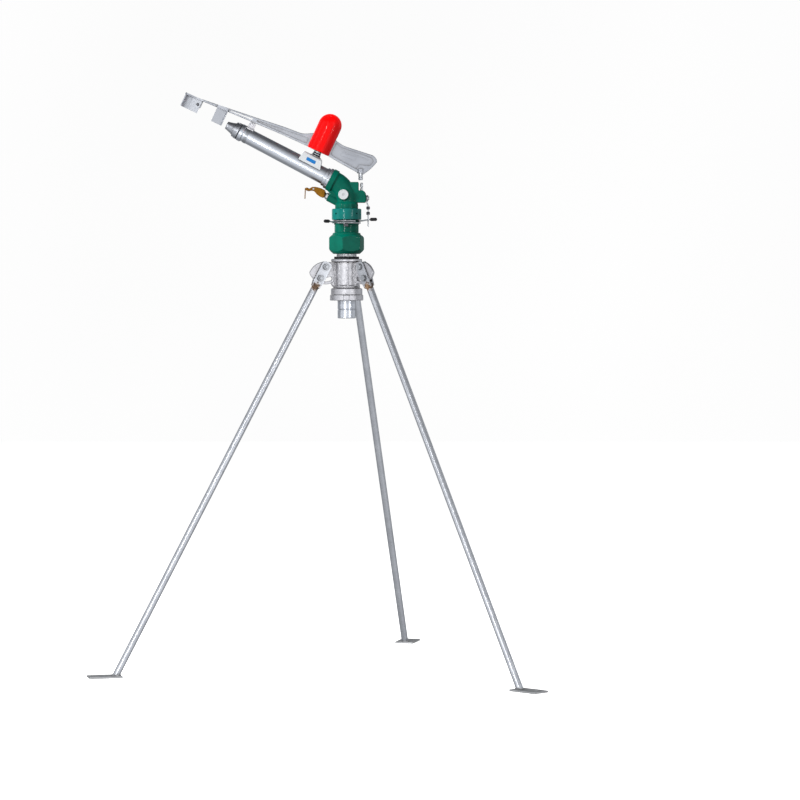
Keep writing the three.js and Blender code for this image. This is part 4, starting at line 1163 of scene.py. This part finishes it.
ARM_HALF = 6.0
TAIL_PIN = shift(144.8, 0, -10.3) @ turn(-ARM_TILT, "Y")


def vane_line(offset):
    """The vane seen from above: along the arm's side, then curled through 75 degrees."""
    return [(-377, 4 + offset)] + arc(-404, -23, 27 + offset, 90, 165, 15)


def make_arm():
    profile = [
        (-431, -8), (-396, -8, 10), (-319, 0, 10), (-212, 12), (-120, 23), (-62, 27, 16),
        (-30.5, 46, 8), (-28.5, 85, 5), (28.5, 85, 5), (31.5, 52, 8), (60, 46, 12), (158, 58, 8),
        (175, 48, 9), (165, 18, 4), (151, -8, 5), (134, -9, 5), (64, -4, 20), (28, 0),
        (-120, -1), (-300, -8, 12), (-431, -14),
    ]
    curl = [(-376, -ARM_HALF), (-376, ARM_HALF)] + vane_line(2.6)[1:]
    curl += [(-427, -20), (-412, -13), (-400, -ARM_HALF, 4)]
    shelf_view = [(-330, 0), (-329.5, -14, 2), (-293.5, -14, 2), (-293, 0)]
    whole = slab(profile, -40, 40, 0.05)
    behind_tip = block(-376.5, 180, -20, 20, -40, 95, 0)
    parts = [
        common(slab(profile, -ARM_HALF, ARM_HALF, 1.9), behind_tip),
        common(whole, slab(curl, -20, 60, 0.05, "XY")),
        common(whole, slab(shelf_view, -20, 20, 0.5, "XY")),
        common(slab(profile, -12, 12, 1.0), block(-28.5, 28.5, -12, 12, -5, 90, 0.8)),
        block(-217, -205, -6, 6, -17, 1, 0.8),
        rod(10.5, 4, 18, 56, 0.8).moved(TAIL_PIN),
        slab([(-397, -34, 3), (-374, -34, 3), (-374, -8), (-397, -9)], 4.2, 7.2, 0.5),
    ]
    window = [(-21, 13, 4), (21, 13, 4), (21, 72, 4), (-21, 72, 4)]
    slot = [(-289, -3), (-218, 0.5, 1), (-218, 6, 1), (-289, -1)]
    cutters = [
        slab(window, -30, 30, 0.05),
        slab(slot, -30, 30, 0.05),
        rod(9.4, -3, 90, 40, 0),
        rod(6.85, -40, 16.3, 40, 0).moved(TAIL_PIN),
    ]
    front = [(-204, 1.5, 2), (-40, 5, 5), (-40, 24, 8), (-62, 21.5, 8), (-204, 7, 2)]
    rear = [
        (38, 6, 6), (64, 3, 8), (128, -1.5, 4), (128, 14, 6), (160, 24, 6), (165, 42, 5),
        (154, 51, 5), (60, 40, 10), (38, 46, 6),
    ]
    for pocket in (front, rear):
        cutters += [slab(pocket, -20, -2.5, 0.9), slab(pocket, 2.5, 20, 0.9)]
    pad = slab([(66, 16, 2), (112, 22, 2), (112, 32, 2), (66, 26, 2)], -3.3, -2.0, 0.3)
    rib = slab([(60, 30), (150, 38), (150, 41), (60, 33)], -3.1, 3.1, 0.4)
    casting = carved("UNION", cut(carved("UNION", *parts), *cutters), pad, rib)
    make("rocker_arm_casting", casting, ARM, "arm", ARM_CAST, "rocker_arm")
    pin = lathe([
        (0, -16), (5.6, -16), (6.5, -15), (6.5, -9), (5.9, -8.4), (5.9, -7.2), (6.5, -6.6),
        (6.5, 15), (5.7, 16), (0, 16),
    ], 56, 0.3)
    make("tail_pin_rod", pin, ARM @ TAIL_PIN, "arm", STEEL, "tail_pin")


def make_vanes():
    """The two plates that hang below the arm: the curled vane at its tip, and the guide plate."""
    outer = vane_line(0)
    inner = vane_line(-3)[::-1]
    above = plate([[(-440, -14.3), (-290, -7.4), (-290, 30), (-440, 30)]], -70, 60, 0)
    vane = plate([outer + inner], -51, -2, 0.4, "XY")
    hole = cross_rod(3, -385, -26, -10, 20, 32, 0)
    make("drive_vane_plate", cut(vane, above, hole), ARM, "arm", BRIGHT_ARM, "drive_vane")
    rivet = lathe([
        (0, -5.0), (2.0, -4.9), (3.9, -4.3), (4.4, -3.2), (2.7, -3.2), (2.7, 3.8), (4.2, 4.0),
        (3.6, 5.2), (0, 5.7),
    ], 40, 0.2)
    make("drive_vane_rivet", rivet.moved(shift(-385, 3.6, -26) @ ALONG_Y), ARM, "arm", DARK_STEEL)
    guide = [(-328, -10), (-298, -4), (-296, -8.5), (-293.5, -7.5), (-296.5, -0.8), (-328, -7)]
    bent = plate([eased(guide, 0.8, True)], -54, -2, 0.4, "XY")
    make("guide_plate_sheet", cut(bent, above), ARM, "arm", BRIGHT_ARM, "guide_plate")


def make_cap():
    outer, inner, base = 35.0, 33.0, 84.0
    line = [(0, base + outer)] + arc(0, base, outer, 84, 0, 14)
    line += [(outer, 3.4), (outer, -0.2), (outer - 0.5, -0.8), (inner + 0.3, -0.8), (inner, -0.3)]
    line += arc(0, base, inner, 0, 84, 14) + [(0, base + inner)]
    shell = lathe(line, 112, 0)
    half = ARM_HALF + 0.6
    cutters = [block(-50, 0, -half, half, -5, 48, 0.6), block(0, 50, -half, half, -5, 60, 0.6)]
    make("spring_cap_moulding", cut(shell, *cutters), ARM, "arm", RED, "spring_cap")


make_arm()
make_vanes()
make_cap()

# ---- Camera, floor and light


def aimed(obj, place, target):
    obj.location = place
    obj.rotation_mode = "QUATERNION"
    obj.rotation_quaternion = (Vector(target) - Vector(place)).to_track_quat("-Z", "Y")
    scene.collection.objects.link(obj)


lens = bpy.data.cameras.new("camera")
lens.lens = 138.0
lens.sensor_width = 36.0
lens.clip_end = 100.0
camera = bpy.data.objects.new("camera", lens)
picture_middle = swivel.x + 0.16
aimed(camera, (picture_middle, swivel.y - 9.2, 1.15), (picture_middle, swivel.y, 0.811))
scene.camera = camera


def panel_lamp(name, power, width, height):
    light = bpy.data.lights.new(name, "AREA")
    light.shape = "RECTANGLE"
    light.size = width
    light.size_y = height
    light.energy = power
    return bpy.data.objects.new(name, light)


def softbox(name, place, power, width, height):
    """A broad lamp that reflections don't see."""
    lamp = panel_lamp(name, power, width, height)
    lamp.visible_glossy = False
    aimed(lamp, place, (swivel.x, swivel.y, 0.95))


softbox("key", (swivel.x - 4.2, swivel.y - 2.8, 2.6), 410, 1.8, 2.4)
softbox("fill", (swivel.x + 2.6, swivel.y - 1.6, 5.0), 76, 1.6, 1.6)
softbox("top", (swivel.x - 0.6, swivel.y + 0.4, 4.6), 44, 2.2, 2.2)
softbox("rim", (swivel.x + 1.4, swivel.y + 4.2, 2.8), 16, 1.4, 1.4)


def tube_light(name, azimuth, power):
    """A thin upright lamp that only glossy surfaces see: the bright stripe on a round part."""
    lamp = panel_lamp(name, power, 0.12, 2.6)
    lamp.visible_diffuse = False
    reach, angle = 5.0, radians(azimuth)
    place = (swivel.x + reach * sin(angle), swivel.y - reach * cos(angle), 1.5)
    aimed(lamp, place, (swivel.x, swivel.y, 1.3))


tube_light("left_tube", -19, 44)
tube_light("right_tube", 44, 30)


def floor_material():
    """White, and bright by itself as well, so that it shows no horizon against the backdrop."""
    material, tree, shader, place = new_material("floor")
    colour = clouded(tree, place, (0.965, 0.965, 0.965), (0.975, 0.975, 0.975), 1.4, 3)
    wire(tree, shader, {"Base Color": colour, "Emission Color": colour, "Emission Strength": 0.66})
    wire(tree, shader, {"Roughness": 0.9, "Specular IOR Level": 0.1})
    return material


def glow(material, colour, strength):
    """Light only, and not sampled as a lamp."""
    emission = add(material.node_tree, "ShaderNodeEmission", {"Color": colour, "Strength": strength})
    add(material.node_tree, "ShaderNodeOutputMaterial", {0: emission.outputs[0]})
    material.cycles.emission_sampling = "NONE"


def backdrop_material():
    material, tree, place = empty_material("backdrop")
    glow(material, rgba(1, 1, 1), remap(tree, noise_of(tree, place, 0.2, 2), 0.3, 0.7, 0.97, 1.0))
    return material


def stage_piece(name, mesh, material, unseen_by, place=(0, 0, 0)):
    mesh.materials.append(material)
    obj = bpy.data.objects.new(name, mesh)
    obj.location = place
    for rays in unseen_by:
        setattr(obj, f"visible_{rays}", False)
    scene.collection.objects.link(obj)


def sheet(name, corners):
    mesh = bpy.data.meshes.new(name)
    mesh.from_pydata(corners, [], [(0, 1, 2, 3)])
    return mesh


# Just under the feet, so that floor and foot plates don't share a plane.
FLOOR_HEIGHT, BACKDROP_FOOT = -0.0006, -0.001
STAGE_REACH, BACKDROP_DISTANCE = 60.0, 13.5
level_corners = [
    (side * STAGE_REACH, depth * STAGE_REACH, FLOOR_HEIGHT)
    for side, depth in ((-1, -1), (1, -1), (1, 1), (-1, 1))
]
stage_piece("floor", sheet("floor", level_corners), floor_material(), ("glossy", "diffuse"))
upright_corners = [
    (side * STAGE_REACH, BACKDROP_DISTANCE, height)
    for side, height in ((-1, BACKDROP_FOOT), (1, BACKDROP_FOOT), (1, STAGE_REACH), (-1, STAGE_REACH))
]
stage_piece(
    "backdrop", sheet("backdrop", upright_corners), backdrop_material(), ("diffuse", "glossy", "shadow")
)


def strip_of(tree, around, azimuth, half_width, softness, strength):
    """A bright upright strip of the surround. Azimuth 0 is towards -Y, and 90 towards +X."""
    angle = radians(azimuth)
    facing = (sin(angle), -cos(angle), 0)
    dot = vector_maths(tree, "DOT_PRODUCT", around, facing)
    edge = cos(radians(half_width + softness))
    return remap(tree, dot, edge, cos(radians(half_width)), 0, strength)


# How the surround darkens overhead, and lightens and then darkens downwards: from one sine of
# elevation to another, and the factors there.
SHADES = ((0.42, 0.86, 1.0, 0.20), (-0.45, -0.05, 1.1, 1.0), (-0.98, -0.72, 0.35, 1.0))
# The bright strips: azimuth, half width and softness in degrees, and strength.
STRIPS = (
    (-22, 6, 10, 0.5),
    (40, 6, 10, 0.5),
    (-74, 6, 10, 0.8),
    (112, 6, 12, 0.5),
    (-150, 8, 14, 0.5),
)


def surround():
    """A studio surround that only reflections see: mid grey with soft upright strips."""
    mesh = bpy.data.meshes.new("surround")
    work = bmesh.new()
    bmesh.ops.create_uvsphere(work, u_segments=48, v_segments=24, radius=14)
    work.to_mesh(mesh)
    work.free()
    material, tree, place = empty_material("surround")
    rise = add(tree, "ShaderNodeSeparateXYZ", {0: vector_maths(tree, "NORMALIZE", place)}).outputs["Z"]
    level = vector_maths(tree, "NORMALIZE", vector_maths(tree, "MULTIPLY", place, (1, 1, 0)))
    forward = vector_maths(tree, "DOT_PRODUCT", level, (0, -1, 0))
    total = remap(tree, forward, -0.5, 0.9, 0.32, 0.84)
    for low, high, low_factor, high_factor in SHADES:
        total = maths(tree, "MULTIPLY", total, remap(tree, rise, low, high, low_factor, high_factor))
    below_top = remap(tree, rise, 0.45, 0.70, 1.0, 0.0)
    above_floor = remap(tree, rise, -0.40, -0.08, 0.0, 1.0)
    open_band = maths(tree, "MULTIPLY", below_top, above_floor)
    for azimuth, half_width, softness, strength in STRIPS:
        strip = strip_of(tree, level, azimuth, half_width, softness, strength)
        total = maths(tree, "ADD", total, maths(tree, "MULTIPLY", strip, open_band))
    glow(material, rgba(0.93, 0.96, 1.0), total)
    unseen_by = ("camera", "diffuse", "shadow", "transmission")
    stage_piece("surround", mesh, material, unseen_by, (swivel.x, swivel.y, 1.0))


surround()

world = bpy.data.worlds.new("world")
scene.world = world
world.use_nodes = True
sky = world.node_tree.nodes["Background"]
sky.inputs["Color"].default_value = rgba(1.0, 1.0, 1.0)
sky.inputs["Strength"].default_value = 0.36
scene.view_settings.view_transform = "Standard"
